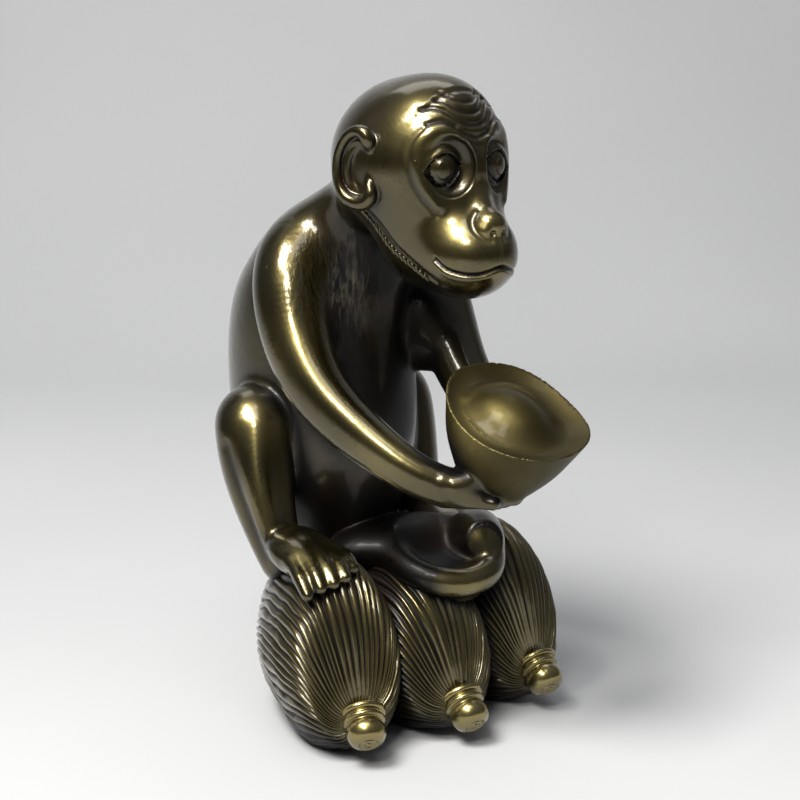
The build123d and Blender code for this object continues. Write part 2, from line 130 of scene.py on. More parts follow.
def egg(p: Array, center: Point, radii: Point, pitch: float = 0.0, yaw: float = 0.0) -> Array:
    """Distance to an egg; pitch tips its front (-Y end) down and yaw turns it about Z."""
    a, b = math.radians(pitch), math.radians(yaw)
    ahead = np.array([-math.sin(b) * math.cos(a), math.cos(b) * math.cos(a), math.sin(a)])
    across = np.array([math.cos(b), math.sin(b), 0.0])
    turned = np.stack([across, ahead, np.cross(across, ahead)], axis=1)
    q = (p - np.asarray(center)) @ turned
    r = np.asarray(radii)
    near = np.linalg.norm(q / r, axis=1)
    slope = np.linalg.norm(q / r**2, axis=1)
    return near * (near - 1) / np.maximum(slope, 1e-6)


def tube(p: Array, stations: Array) -> Array:
    """Distance to a limb through stations of x, y, z and radius."""
    if len(p) > CHUNK:
        return np.concatenate([tube(p[i : i + CHUNK], stations) for i in range(0, len(p), CHUNK)])
    spots, reach = stations[:, :3], stations[:, 3]
    near = p.astype(np.float32)
    marks = spots.astype(np.float32)
    square = (near**2).sum(1)[:, None] - 2 * near @ marks.T + (marks**2).sum(1)[None]
    nearest = (np.sqrt(np.maximum(square, 0)) - reach.astype(np.float32)[None]).argmin(1)
    best = np.full(len(p), FAR)
    for shift in (-1, 0):
        i = np.clip(nearest + shift, 0, len(spots) - 2)
        start, span = spots[i], spots[i + 1] - spots[i]
        t = ((p - start) * span).sum(1) / np.maximum((span**2).sum(1), 1e-9)
        t = np.clip(t, 0.0, 1.0)
        gap = np.linalg.norm(p - start - t[:, None] * span, axis=1)
        best = np.minimum(best, gap - (reach[i] + (reach[i + 1] - reach[i]) * t))
    return best


def line(p: Array, points: Sequence[Sequence[float]], per_span: int = 6) -> Array:
    """Distance to a thin smooth line through the points."""
    path = curve_points(points, per_span)
    return tube(p, np.hstack([path, np.zeros((len(path), 1))]))


def groove(distance: Array, width: float) -> Array:
    """1 on a line, falling off over the width."""
    return np.exp(-((distance / width) ** 2))


def folded(p: Array) -> Array:
    """Both halves of the monkey laid onto its left half."""
    return np.stack([np.abs(p[:, 0]), p[:, 1], p[:, 2]], 1)


@dataclass(frozen=True)
class Stack:
    """A form given by level sections: height, half width, half depth, setback."""

    sections: Array
    soft: float = 3.0

    def distance(self, p: Array) -> Array:
        """Distance to the form, its two ends rounded over."""
        z = p[:, 2]
        levels = self.sections[:, 0]
        rx, ry, y0 = (np.interp(z, levels, self.sections[:, i]) for i in (1, 2, 3))
        x, y = p[:, 0], p[:, 1] - y0
        near = np.hypot(x / rx, y / ry)
        slope = np.hypot(x / rx**2, y / ry**2)
        side = near * (near - 1) / np.maximum(slope, 1e-6)
        ends = np.maximum(levels[0] - z, z - levels[-1])
        return smooth_max(side, ends, self.soft)


# The forms of the monkey, in millimetres


class Part(Enum):
    """Every named piece of the cast skin and the CAD node that it stands for."""

    HEAD = "head"
    EAR_RIGHT = "ear_right"
    EAR_LEFT = "ear_left"
    EYE_RIGHT = "eye_right"
    EYE_LEFT = "eye_left"
    TORSO = "torso"
    ARM_RIGHT = "arm_right"
    ARM_LEFT = "arm_left"
    HAND_RIGHT = "hand_right"
    HAND_LEFT = "hand_left"
    LEG_RIGHT = "leg_right"
    LEG_LEFT = "leg_left"
    FOOT_RIGHT = "foot_right"
    FOOT_LEFT = "foot_left"
    TAIL = "tail"
    BOWL = "ingot_bowl"
    DOME = "ingot_dome"
    CROWN = "stalk_crown"
    STUB = "stalk_cut_end"


@dataclass(frozen=True)
class Form:
    """One form of the skin: its distance, its box, and how softly it joins what came before."""

    part: Part
    distance: Callable[[Array], Array]
    low: Point
    high: Point
    blend: float

    def near(self, p: Array, pad: float) -> Array:
        """Which points lie in the form's box, grown by pad."""
        return np.all((p > np.asarray(self.low) - pad) & (p < np.asarray(self.high) + pad), axis=1)


BROW_RIDGE = (
    (1.3, -25.3, 124.5, 0.4), (1.5, -25.0, 127.6, 0.7), (3.5, -23.8, 130.2, 0.7),
    (5.8, -22.5, 132.0, 0.9), (7.3, -21.2, 132.2, 1.2), (9.2, -20.0, 131.0, 1.4),
    (10.4, -19.2, 128.7, 1.4), (10.7, -19.4, 125.7, 1.2), (10.4, -20.2, 122.8, 0.9),
    (9.6, -21.5, 120.0, 0.6), (8.6, -22.9, 117.6, 0.2),
)
NOSE_BRIDGE = (
    (0.0, -23.6, 126.0, 1.2), (0.0, -24.2, 121.0, 1.6), (0.0, -26.4, 117.0, 2.0),
    (0.0, -28.6, 114.6, 2.2),
)
BROW_CREASE = (
    (4.6, -23.0, 132.9), (6.6, -22.0, 133.6), (8.4, -21.0, 133.4), (10.2, -20.0, 132.3),
    (11.6, -19.1, 130.5), (12.5, -18.7, 128.4), (12.7, -18.9, 126.0), (12.4, -19.6, 122.8),
    (11.4, -20.8, 119.8), (9.8, -22.6, 117.0), (9.0, -23.4, 116.0),
)
WRINKLES = (
    ((4.9, -19.0, 139.4), (2.9, -21.1, 138.0), (1.0, -22.0, 137.3), (-1.0, -22.0, 137.3)),
    (
        (6.4, -19.6, 137.9), (4.5, -21.1, 137.0), (3.0, -22.4, 135.7), (1.0, -23.2, 135.0),
        (-1.0, -23.2, 135.0),
    ),
    (
        (9.4, -18.4, 136.0), (7.8, -19.9, 136.3), (6.1, -21.3, 135.7), (5.0, -22.3, 134.7),
        (3.3, -23.5, 133.3), (1.1, -24.1, 132.6), (-1.1, -24.1, 132.6),
    ),
    (
        (9.2, -20.3, 132.8), (6.9, -22.0, 133.6), (5.3, -23.0, 132.7), (3.4, -24.1, 131.1),
        (1.0, -24.7, 130.2), (-1.0, -24.7, 130.2),
    ),
)
PATCH = (
    (10.3, -17.6, 135.4), (8.7, -18.3, 136.8), (6.7, -18.8, 138.3), (4.7, -18.8, 139.5),
    (1.8, -18.9, 140.3), (-1.8, -18.9, 140.3),
)
MOUTH = (
    (10.1, -24.0, 107.0), (9.3, -25.6, 105.6), (8.3, -27.2, 104.8), (6.5, -29.6, 104.2),
    (4.5, -31.3, 104.2), (2.2, -32.5, 105.0), (0.8, -32.9, 105.5), (-0.8, -32.9, 105.5),
)
LIP_GROOVE = ((0.0, -31.8, 111.4), (0.0, -33.0, 108.6), (0.0, -33.0, 106.2))
NOSTRIL_CURL = (
    (1.8, -27.4, 115.8), (3.4, -27.6, 114.8), (4.1, -28.8, 112.9), (3.2, -30.6, 111.2),
    (1.9, -31.6, 110.9),
)
JAW_LINE = (
    (15.2, -6.2, 117.4), (15.0, -7.6, 115.2), (14.6, -10.9, 111.9), (13.1, -15.0, 107.7),
    (10.9, -19.0, 104.5), (8.4, -22.5, 102.2),
)
JAW_CORD = (
    (14.9, -5.8, 115.2), (14.5, -8.9, 111.6), (13.3, -12.9, 107.7), (11.4, -16.9, 104.7),
    (8.9, -20.6, 102.4),
)
EAR_RIM = (
    (3.4, 3.6, -0.5, 0.7), (3.2, 5.3, 0.2, 1.4), (2.2, 6.8, 0.2, 1.5), (0.0, 7.0, 0.0, 1.2),
    (-2.2, 5.5, 0.0, 1.05), (-3.8, 2.4, 0.1, 0.95), (-4.2, -1.2, 0.1, 0.95),
    (-3.7, -4.0, 0.0, 1.05), (-2.1, -6.3, 0.0, 1.3), (0.4, -7.3, 0.0, 1.5),
    (2.5, -7.0, 0.0, 1.6), (3.5, -5.4, 0.0, 1.4), (3.3, -3.8, -0.2, 1.0), (3.0, -2.4, -0.8, 0.6),
)
EAR_RIDGE = (
    (0.8, 4.4, -1.3, 0.4), (-1.2, 2.6, -1.0, 0.6), (-2.1, -0.2, -0.9, 0.7),
    (-1.6, -3.0, -1.0, 0.6), (0.0, -5.0, -1.3, 0.4),
)


def raised(points: Sequence[Point], rise: float) -> tuple[Point, ...]:
    """The points moved up by rise."""
    return tuple((x, y, z + rise) for x, y, z in points)


@dataclass(frozen=True)
class Carving:
    """A line on the head that is raised by a height, or cut where the height is below zero."""

    path: Sequence[Point]
    height: float
    width: float


CARVINGS = (
    *(Carving(wrinkle, 0.22, 0.7) for wrinkle in WRINKLES),
    *(Carving(raised(wrinkle, 0.75), -0.44, 0.62) for wrinkle in WRINKLES),
    Carving(PATCH, 0.08, 0.8),
    Carving([(x * 0.91, y * 0.91 - 2.0, z * 0.91 + 12.1) for x, y, z in PATCH], -0.28, 0.8),
    Carving(BROW_CREASE, -0.32, 0.7),
    Carving(MOUTH, -0.85, 0.42),
    Carving(raised(MOUTH[1:], -1.2), 0.15, 0.8),
    Carving(LIP_GROOVE, -0.22, 0.55),
    Carving(NOSTRIL_CURL, -0.28, 0.65),
    Carving(JAW_LINE, -0.38, 0.55),
)


@dataclass(frozen=True)
class HeadForm:
    """The skull, face and muzzle with all that is carved into them."""

    skull: Point = (0.0, -5.8, 125.0)
    skull_radii: Point = (17.2, 19.8, 17.4)
    face: Point = (0.0, -12.2, 115.4)
    face_radii: Point = (13.4, 14.4, 17.0)
    forehead: Point = (0.0, -11.6, 131.4)
    forehead_radii: Point = (12.0, 12.0, 11.2)
    muzzle: Point = (0.0, -20.8, 107.8)
    muzzle_radii: Point = (10.4, 12.2, 9.8)
    muzzle_pitch: float = 8.0
    blend: float = 3.0
    brow_blend: float = 2.8
    bridge_blend: float = 2.4
    nose: Point = (0.0, -29.6, 114.0)
    nose_radii: Point = (2.9, 2.4, 2.4)
    nose_blend: float = 1.8
    wing: Point = (2.1, -29.2, 112.8)
    wing_radii: Point = (1.6, 2.0, 1.5)
    wing_blend: float = 0.9
    nostril: Point = (1.35, -31.7, 112.4)
    nostril_radius: float = 0.6
    eye: Point = (6.1, -19.6, 124.9)
    eye_yaw: float = 17.0
    socket: Point = (6.3, -24.7, 125.5)
    socket_radii: Point = (5.1, 3.1, 6.2)
    socket_edge: float = 0.6
    lid_radii: Point = (4.9, 4.85, 5.8)
    lid_blend: float = 0.7
    lid_edge: float = 0.4
    lid_depth: float = 2.0
    opening_half: float = 4.1
    opening_slant: float = 0.15
    upper_lid: tuple[float, float] = (0.1, 3.0)
    lower_lid: tuple[float, float] = (0.3, 3.3)
    ball_radii: Point = (4.2, 4.28, 5.0)
    iris_radii: Point = (4.45, 4.56, 5.25)
    iris_half: tuple[float, float] = (1.55, 1.95)
    uncarved: Point = (6.1, -23.4, 125.0)
    uncarved_reach: tuple[float, float] = (4.6, 5.8)

    def base(self, p: Array) -> Array:
        """The head before anything is carved."""
        d = egg(p, self.skull, self.skull_radii)
        d = smooth_min(d, egg(p, self.forehead, self.forehead_radii), self.blend)
        d = smooth_min(d, egg(p, self.face, self.face_radii), self.blend)
        muzzle = egg(p, self.muzzle, self.muzzle_radii, self.muzzle_pitch)
        return smooth_min(d, muzzle, self.blend)

    def turned(self, q: Array, center: Point, radii: Point) -> Array:
        """Distance to an egg that looks the way the eye does."""
        return egg(q, center, radii, 0.0, self.eye_yaw)

    def distance(self, p: Array) -> Array:
        """The head with its brow ridges, nose, sockets and lids."""
        q = folded(p)
        d = self.base(p)
        d = smooth_min(d, tube(q, curve_points(BROW_RIDGE, 5)), self.brow_blend)
        d = smooth_min(d, tube(q, curve_points(NOSE_BRIDGE, 4)), self.bridge_blend)
        d = smooth_max(d, -self.turned(q, self.socket, self.socket_radii), self.socket_edge)
        d = smooth_min(d, egg(q, self.nose, self.nose_radii), self.nose_blend)
        d = smooth_min(d, egg(q, self.wing, self.wing_radii), self.wing_blend)
        nostril = np.linalg.norm(q - np.asarray(self.nostril), axis=1) - self.nostril_radius
        d = smooth_max(d, -nostril, 0.4)
        d = smooth_min(d, self.turned(q, self.eye, self.lid_radii), self.lid_blend)
        hole = np.maximum(self.opening(q), q[:, 1] - self.eye[1] + self.lid_depth)
        d = smooth_max(d, -hole, self.lid_edge)
        return smooth_min(d, self.eyes(q), 0.3)

    def facing(self, q: Array) -> tuple[Array, Array]:
        """Each point's place across and up the eye."""
        a = math.radians(self.eye_yaw)
        r = q - np.asarray(self.eye)
        return r @ np.array([math.cos(a), math.sin(a), 0.0]), r[:, 2]

    def opening(self, q: Array) -> Array:
        """Distance to the almond between the lids, as seen from the front."""
        s, t = self.facing(q)
        half, slant = self.opening_half, self.opening_slant
        span = np.clip(1 - (s / half) ** 2, 0, None)
        above = t + slant * s - self.upper_lid[0] - self.upper_lid[1] * span
        below = -self.lower_lid[0] - self.lower_lid[1] * span - t - slant * s
        gap = np.maximum(above, below) * 0.8
        return np.where(np.abs(s) > half, np.maximum(gap, np.abs(s) - half), gap)

    def eyes(self, q: Array) -> Array:
        """The eyeball between the lids and its raised iris."""
        ball = self.turned(q, self.eye, self.ball_radii)
        s, t = self.facing(q)
        across, up = self.iris_half
        disc = (np.hypot((s - 0.2) / across, (t + 0.1) / up) - 1) * 1.6
        iris = smooth_max(self.turned(q, self.eye, self.iris_radii), disc, 0.25)
        return smooth_min(ball, iris, 0.15)

    def laid(self, points: Sequence[Sequence[float]], per_span: int = 6) -> Array:
        """A smooth line through the points, brought onto the head."""
        rounds, probe, share, least = 4, 0.02, 0.9, 0.2
        path = curve_points(points, per_span)
        for _ in range(rounds):
            level = self.distance(path)
            rise = [self.distance(path + step) - level for step in np.eye(3) * probe]
            slope = np.stack(rise, 1) / probe
            steep = np.maximum((slope**2).sum(1, keepdims=True), least)
            path = path - share * level[:, None] * slope / steep
        return np.hstack([path, np.zeros((len(path), 1))])

    def relief(self, p: Array) -> Array:
        """How far the carving raises or cuts the surface."""
        q = folded(p)
        total = np.zeros(len(p))
        for carving in CARVINGS:
            total += carving.height * groove(tube(q, self.laid(carving.path)), carving.width)
        near_eye = np.linalg.norm(q - np.array(self.uncarved), axis=1)
        return total * ramp(near_eye, *self.uncarved_reach)


@dataclass(frozen=True)
class EarForm:
    """An ear with a folded rim, a deep hollow and a lobe that curls in at its foot."""

    side: int
    place: Point = (18.0, -8.0, 124.9)
    flare: float = 23.5
    plate: Point = (0.0, -0.2, -1.5)
    plate_radii: Point = (4.0, 7.0, 1.7)
    hollow: Point = (0.4, -0.4, 0.3)
    hollow_radii: Point = (2.9, 5.6, 1.7)

    def distance(self, p: Array) -> Array:
        """Distance to the ear."""
        q = p * np.array([float(self.side), 1.0, 1.0]) - np.asarray(self.place)
        a = math.radians(self.flare)
        u = q @ np.array([-math.sin(a), -math.cos(a), 0.0])
        w = q @ np.array([math.cos(a), -math.sin(a), 0.0])
        e = np.stack([u, q[:, 2], w], 1)
        plate = egg(e, self.plate, self.plate_radii)
        d = smooth_max(plate, -egg(e, self.hollow, self.hollow_radii), 0.5)
        d = smooth_min(d, tube(e, curve_points(EAR_RIM, 5)), 0.5)
        return smooth_min(d, tube(e, curve_points(EAR_RIDGE, 5)), 0.4)


@dataclass(frozen=True)
class TorsoForm:
    """The arched back, chest and belly."""

    sections: tuple[tuple[float, ...], ...] = (
        (36.0, 10.0, 12.0, 24.0), (40.0, 12.0, 14.0, 24.0), (46.0, 16.0, 18.0, 26.0),
        (58.0, 19.5, 23.5, 28.2), (70.0, 19.7, 24.6, 29.2), (82.0, 19.4, 24.5, 29.9),
        (93.0, 18.8, 22.6, 28.7), (100.0, 17.9, 20.5, 25.0), (107.0, 16.2, 17.5, 21.5),
        (113.0, 14.0, 14.5, 15.5), (118.0, 11.5, 11.5, 8.0), (121.0, 10.5, 10.5, 4.5),
    )

    def stack(self) -> Stack:
        """The torso's level sections, smoothed."""
        return Stack(evened(curve_points(self.sections, 12), 60))


RIGHT_ARM = (
    (-9.0, 19.5, 103.0, 8.0), (-13.8, 18.2, 104.0, 8.4), (-18.0, 15.5, 97.6, 8.3),
    (-19.9, 11.0, 87.6, 7.5), (-20.6, 4.0, 79.1, 6.6), (-19.4, -3.5, 73.0, 6.0),
    (-17.0, -12.5, 67.6, 5.2), (-13.0, -20.5, 62.6, 4.5), (-8.4, -25.4, 60.0, 4.2),
)
LEFT_ARM = (
    (9.5, 19.5, 102.5, 8.0), (14.2, 18.2, 103.2, 8.3), (18.0, 15.0, 97.6, 8.2),
    (18.6, 10.5, 90.2, 7.5), (17.0, 4.5, 84.5, 6.6), (15.0, -2.5, 78.0, 5.8),
    (14.0, -11.0, 70.5, 5.2), (11.8, -19.0, 64.5, 4.5), (8.0, -25.4, 60.2, 4.2),
)
RIGHT_LEG = (
    (-8.0, 33.0, 54.0, 9.0), (-14.0, 30.5, 60.0, 9.2), (-18.8, 27.6, 64.6, 9.0),
    (-21.6, 25.0, 65.3, 8.8), (-22.9, 22.4, 58.0, 8.1), (-23.4, 19.2, 50.4, 6.9),
    (-23.4, 15.6, 43.0, 5.7), (-23.2, 12.0, 38.0, 5.2),
)
SHIN = (
    (-24.2, 20.0, 66.0, 3.2), (-26.4, 17.0, 58.0, 3.3), (-26.8, 14.0, 50.0, 3.1),
    (-26.2, 11.4, 43.0, 2.8), (-25.0, 9.0, 38.5, 2.2),
)
LEFT_LEG = (
    (8.0, 34.0, 54.0, 9.0), (13.0, 31.5, 60.0, 9.4), (17.0, 28.6, 66.0, 9.0),
    (18.5, 25.6, 66.0, 8.4), (18.6, 22.6, 58.5, 7.6), (18.4, 19.8, 50.5, 6.6),
    (18.0, 17.4, 44.0, 5.6), (17.6, 14.6, 39.5, 5.2),
)
TAIL = (
    (0.0, 44.0, 44.0, 3.4), (2.0, 50.0, 54.0, 3.4), (3.0, 52.0, 64.0, 3.1), (1.5, 52.4, 74.0, 2.7),
    (-1.2, 51.4, 84.0, 2.0),
)
RIDGE_FROM, RIDGE_FULL = 0.08, 0.45
RIDGE_SHIFT, RIDGE_SHIFT_MORE = 0.12, 0.32
RIDGE_SHARE, RIDGE_SHARE_LESS = 0.80, 0.16
RIDGE_BLEND = 0.8


def limb(
    part: Part, stations: Sequence[Sequence[float]], blend: float, ridge: Point | None = None
) -> Form:
    """A limb as one form of the skin, with a soft ridge along the side that ridge points to."""
    path = evened(curve_points(stations, 8), 12)
    reach = path[:, 3:4]
    low = tuple((path[:, :3] - reach).min(0))
    high = tuple((path[:, :3] + reach).max(0))
    if ridge is None:
        return Form(part, lambda p: tube(p, path), low, high, blend)
    rise = ramp(np.linspace(0, 1, len(path)), RIDGE_FROM, RIDGE_FULL)[:, None]
    crest = path.copy()
    crest[:, :3] += np.asarray(ridge)[None] * reach * (RIDGE_SHIFT + RIDGE_SHIFT_MORE * rise)
    crest[:, 3:4] *= RIDGE_SHARE - RIDGE_SHARE_LESS * rise
    return Form(
        part, lambda p: smooth_min(tube(p, path), tube(p, crest), RIDGE_BLEND), low, high, blend
    )


HULL_LEVELS = evened(
    curve_points(
        (
            (-1.1, 0.36), (-1.0, 0.44), (-0.8, 0.60), (-0.55, 0.76), (-0.28, 0.89), (0.0, 1.0),
            (0.1, 1.03),
        ),
        8,
    ),
    8,
)
DOME_CREST = (
    (-4.0, 7.6, -2.0, 0.3), (0.5, 8.4, -0.4, 0.6), (4.6, 6.6, 0.6, 0.7), (7.4, 2.2, 0.4, 0.7),
    (7.8, -3.0, -1.4, 0.4),
)


@dataclass(frozen=True)
class IngotForm:
    """The boat-shaped ingot, tipped forwards and a little to one side."""

    center: Point = (0.4, -35.7, 76.3)
    tilt: float = 28.5
    roll: float = 7.0
    width: float = 27.0
    length: float = 31.0
    depth: float = 19.5
    left_less: float = 1.8
    right_more: float = 2.0
    left_bend: float = 1.95
    right_bend: float = 2.4
    rim_curve: float = 0.0065
    rim_drop: float = 0.9
    dish_depth: float = 3.3
    dish_power: float = 2.2
    dome_center: Point = (0.4, 0.2, -5.6)
    dome_radii: Point = (8.8, 10.6, 8.6)

    def local(self, p: Array) -> Array:
        """Points as across, along and above the rim."""
        a, b = math.radians(self.tilt), math.radians(self.roll)
        along = np.array([0.0, math.cos(a), math.sin(a)])
        across = unit((math.cos(b), 0.0, math.sin(b)))
        up = unit(np.cross(across, along))
        q = p - np.asarray(self.center)
        return np.stack([q @ across, q @ along, q @ up], axis=1)

    def rim(self, q: Array) -> Array:
        """Height of the rim, which rises towards the two ends."""
        return self.rim_curve * q[:, 1] ** 2 - self.rim_drop

    def bowl(self, p: Array) -> Array:
        """The conical hull with its shallow dish."""
        q = self.local(p)
        level = q[:, 2] - self.rim(q)
        reach = np.interp(level / self.depth, HULL_LEVELS[:, 0], HULL_LEVELS[:, 1])
        left = q[:, 0] < 0
        half = np.where(left, self.width / 2 - self.left_less, self.width / 2 + self.right_more)
        bend = np.where(left, self.left_bend, self.right_bend)
        across, along = np.abs(q[:, 0] / half), np.abs(q[:, 1] / (self.length / 2))
        near = (across**bend + along**bend) ** (1 / bend)
        side = (near - reach) * self.width / 2 * 0.9
        floor = level + self.dish_depth * (1 - np.minimum(near, 1.0) ** self.dish_power)
        return smooth_max(smooth_max(side, floor, 0.35), -self.depth - q[:, 2], 0.8)

    def dome(self, p: Array) -> Array:
        """The broad dome between the ends, with a soft crest along its far side."""
        q = self.local(p)
        body = egg(q, self.dome_center, self.dome_radii)
        return smooth_min(body, tube(q, curve_points(DOME_CREST, 5)), 1.8)


@dataclass(frozen=True)
class HandForm:
    """A cupped palm with four fingers under the ingot and a thumb up its side."""

    side: int
    palm: Point = (5.9, -27.3, 59.5)
    palm_radii: Point = (5.2, 7.2, 3.8)
    palm_pitch: float = 6.0
    palm_yaw: float = -32.0
    heading: Point = (-0.62, -0.77, -0.12)
    across: Point = (0.77, -0.62, 0.0)
    finger_root: float = 2.4
    finger_gap: float = 2.0
    finger_drop: Point = (0.0, 0.0, -1.0)
    finger_length: float = 6.2
    finger_less: float = 0.6
    finger_radii: tuple[float, float] = (1.8, 1.5)
    thumb_root: Point = (0.85, -0.5, 0.0)
    thumb_rise: Point = (0.0, 0.0, 2.0)
    thumb_heading: Point = (-0.75, -0.6, 0.3)
    thumb_radii: tuple[float, float] = (2.1, 1.3)

    def distance(self, p: Array) -> Array:
        """Distance to the hand."""
        q = p * np.array([float(self.side), 1.0, 1.0])
        palm = np.asarray(self.palm)
        d = egg(q, self.palm, self.palm_radii, self.palm_pitch, self.palm_yaw)
        heading, across = unit(self.heading), unit(self.across)
        wide, narrow = self.finger_radii
        for step in range(4):
            aside = across * (self.finger_gap * (step - 1.9))
            start = palm + heading * self.finger_root + aside + np.array(self.finger_drop)
            end = start + heading * (self.finger_length - self.finger_less * abs(step - 1.0))
            d = smooth_min(d, tube(q, np.array([[*start, wide], [*end, narrow]])), 0.7)
        wide, narrow = self.thumb_radii
        thumb = palm + unit(self.thumb_root) * 3.8 + np.array(self.thumb_rise)
        tip = thumb + unit(self.thumb_heading) * 5.0
        return smooth_min(d, tube(q, np.array([[*thumb, wide], [*tip, narrow]])), 2.8)


TOES = (
    ((-5.7, -3.8, 0.0), (-7.2, -11.6, -4.6)),
    ((-2.6, -4.6, 1.0), (-4.6, -12.8, -3.2)),
    ((0.5, -5.0, 1.2), (-1.7, -13.4, -2.6)),
    ((3.5, -4.6, 1.0), (1.2, -13.6, -1.8)),
    ((6.0, -3.6, 0.6), (4.4, -12.0, -0.8)),
)


@dataclass(frozen=True)
class FootForm:
    """A low instep with five toes laid over a fruit."""

    side: int
    middle: Point
    instep: Point = (0.0, -0.6, 0.0)
    instep_radii: Point = (7.2, 10.4, 4.7)
    instep_pitch: float = 12.0
    knuckle_rise: Point = (0.0, 0.0, 0.6)
    nail_drop: Point = (0.0, -0.5, -0.5)
    toe_radii: tuple[float, ...] = (1.3, 1.6, 1.3, 1.0)

    def distance(self, p: Array) -> Array:
        """Distance to the foot."""
        q = (p - np.asarray(self.middle)) * np.array([-float(self.side), 1.0, 1.0])
        d = egg(q, self.instep, self.instep_radii, self.instep_pitch)
        for root, tip in TOES:
            root, tip = np.asarray(root), np.asarray(tip)
            knuckle = root + (tip - root) * 0.60 + np.array(self.knuckle_rise)
            spots = (root, knuckle, tip, tip + np.array(self.nail_drop))
            path = curve_points([[*spot, r] for spot, r in zip(spots, self.toe_radii)], 4)
            d = smooth_min(d, tube(q, path), 1.5)
        return d


@dataclass(frozen=True)
class CrownForm:
    """The dished crown of the stalk and the stub of the cut stalk."""

    center: Point = (7.1, -7.0, 40.4)
    up: Point = (-0.05, -0.31, 0.94)
    ring: float = 11.0
    ahead: Point = (-0.25, -0.95, -0.3)
    dish_depth: float = 2.5
    dish_curve: float = 0.014
    thickness: float = 9.0
    heel: Point = (3.0, 8.0, 38.0)
    heel_radii: Point = (15.0, 10.5, 6.0)
    side: Point = (16.0, -6.5, 39.6)
    side_radii: Point = (5.6, 8.0, 5.6)
    stub: Point = (13.9, -12.2, 41.6)
    stub_axis: Point = (-0.47, -0.85, 0.22)
    stub_radius: float = 3.9
    stub_groove: float = 3.1

    def distance(self, p: Array) -> Array:
        """Distance to the dished pad, its thick lip strongest at the front."""
        up = unit(self.up)
        q = p - np.asarray(self.center)
        level = q @ up
        flat = q - level[:, None] * up
        reach = np.linalg.norm(flat, axis=1)
        ahead = flat @ unit(self.ahead) / np.maximum(reach, 1e-6)
        front = ramp(ahead, -0.75, 0.15)
        drop = (level + 2.9 + 2.4 * (1 - front)) * 0.92
        lip = np.hypot(reach - self.ring, drop) - (1.7 + 1.2 * front)
        dish = level + self.dish_depth - self.dish_curve * reach**2
        pad = smooth_max(np.maximum(dish, -self.thickness - level), reach - self.ring, 1.5)
        heel = egg(p, self.heel, self.heel_radii, -12.0)
        side = egg(p, self.side, self.side_radii, 0.0, -15.0)
        bed = smooth_min(smooth_min(lip, pad, 2.2), heel, 5.0)
        return smooth_min(bed, side, 3.0)

    def cut_end(self, p: Array) -> Array:
        """Distance to the stub, with a groove cut inside its edge."""
        axis = unit(self.stub_axis)
        q = p - np.asarray(self.stub)
        along = q @ axis
        reach = np.linalg.norm(q - along[:, None] * axis, axis=1)
        wall = reach - self.stub_radius - 0.25 * -along
        stub = smooth_max(np.maximum(along, -self.thickness - along), wall, 0.7)
        ring = np.hypot(along, reach - self.stub_groove) - 0.36
        return smooth_max(stub, -ring, 0.2)


ARMPIT = (13.0, 7.5, 86.0)
EARS = (18, -8, 125)
HANDS = (4, -30, 59)
ARM_RIDGE = (0.55, -0.50, 0.67)


def armpit(p: Array) -> Array:
    """The web of metal between the left arm and the flank."""
    return egg(p, ARMPIT, (6.0, 7.0, 9.5))


def boxed(
    part: Part, distance: Callable[[Array], Array], c: Sequence[float], r: float, k: float
) -> Form:
    """A form in a box that reaches r from its centre c, blended over k."""
    c = np.asarray(c, float)
    return Form(part, distance, tuple(c - r), tuple(c + r), k)



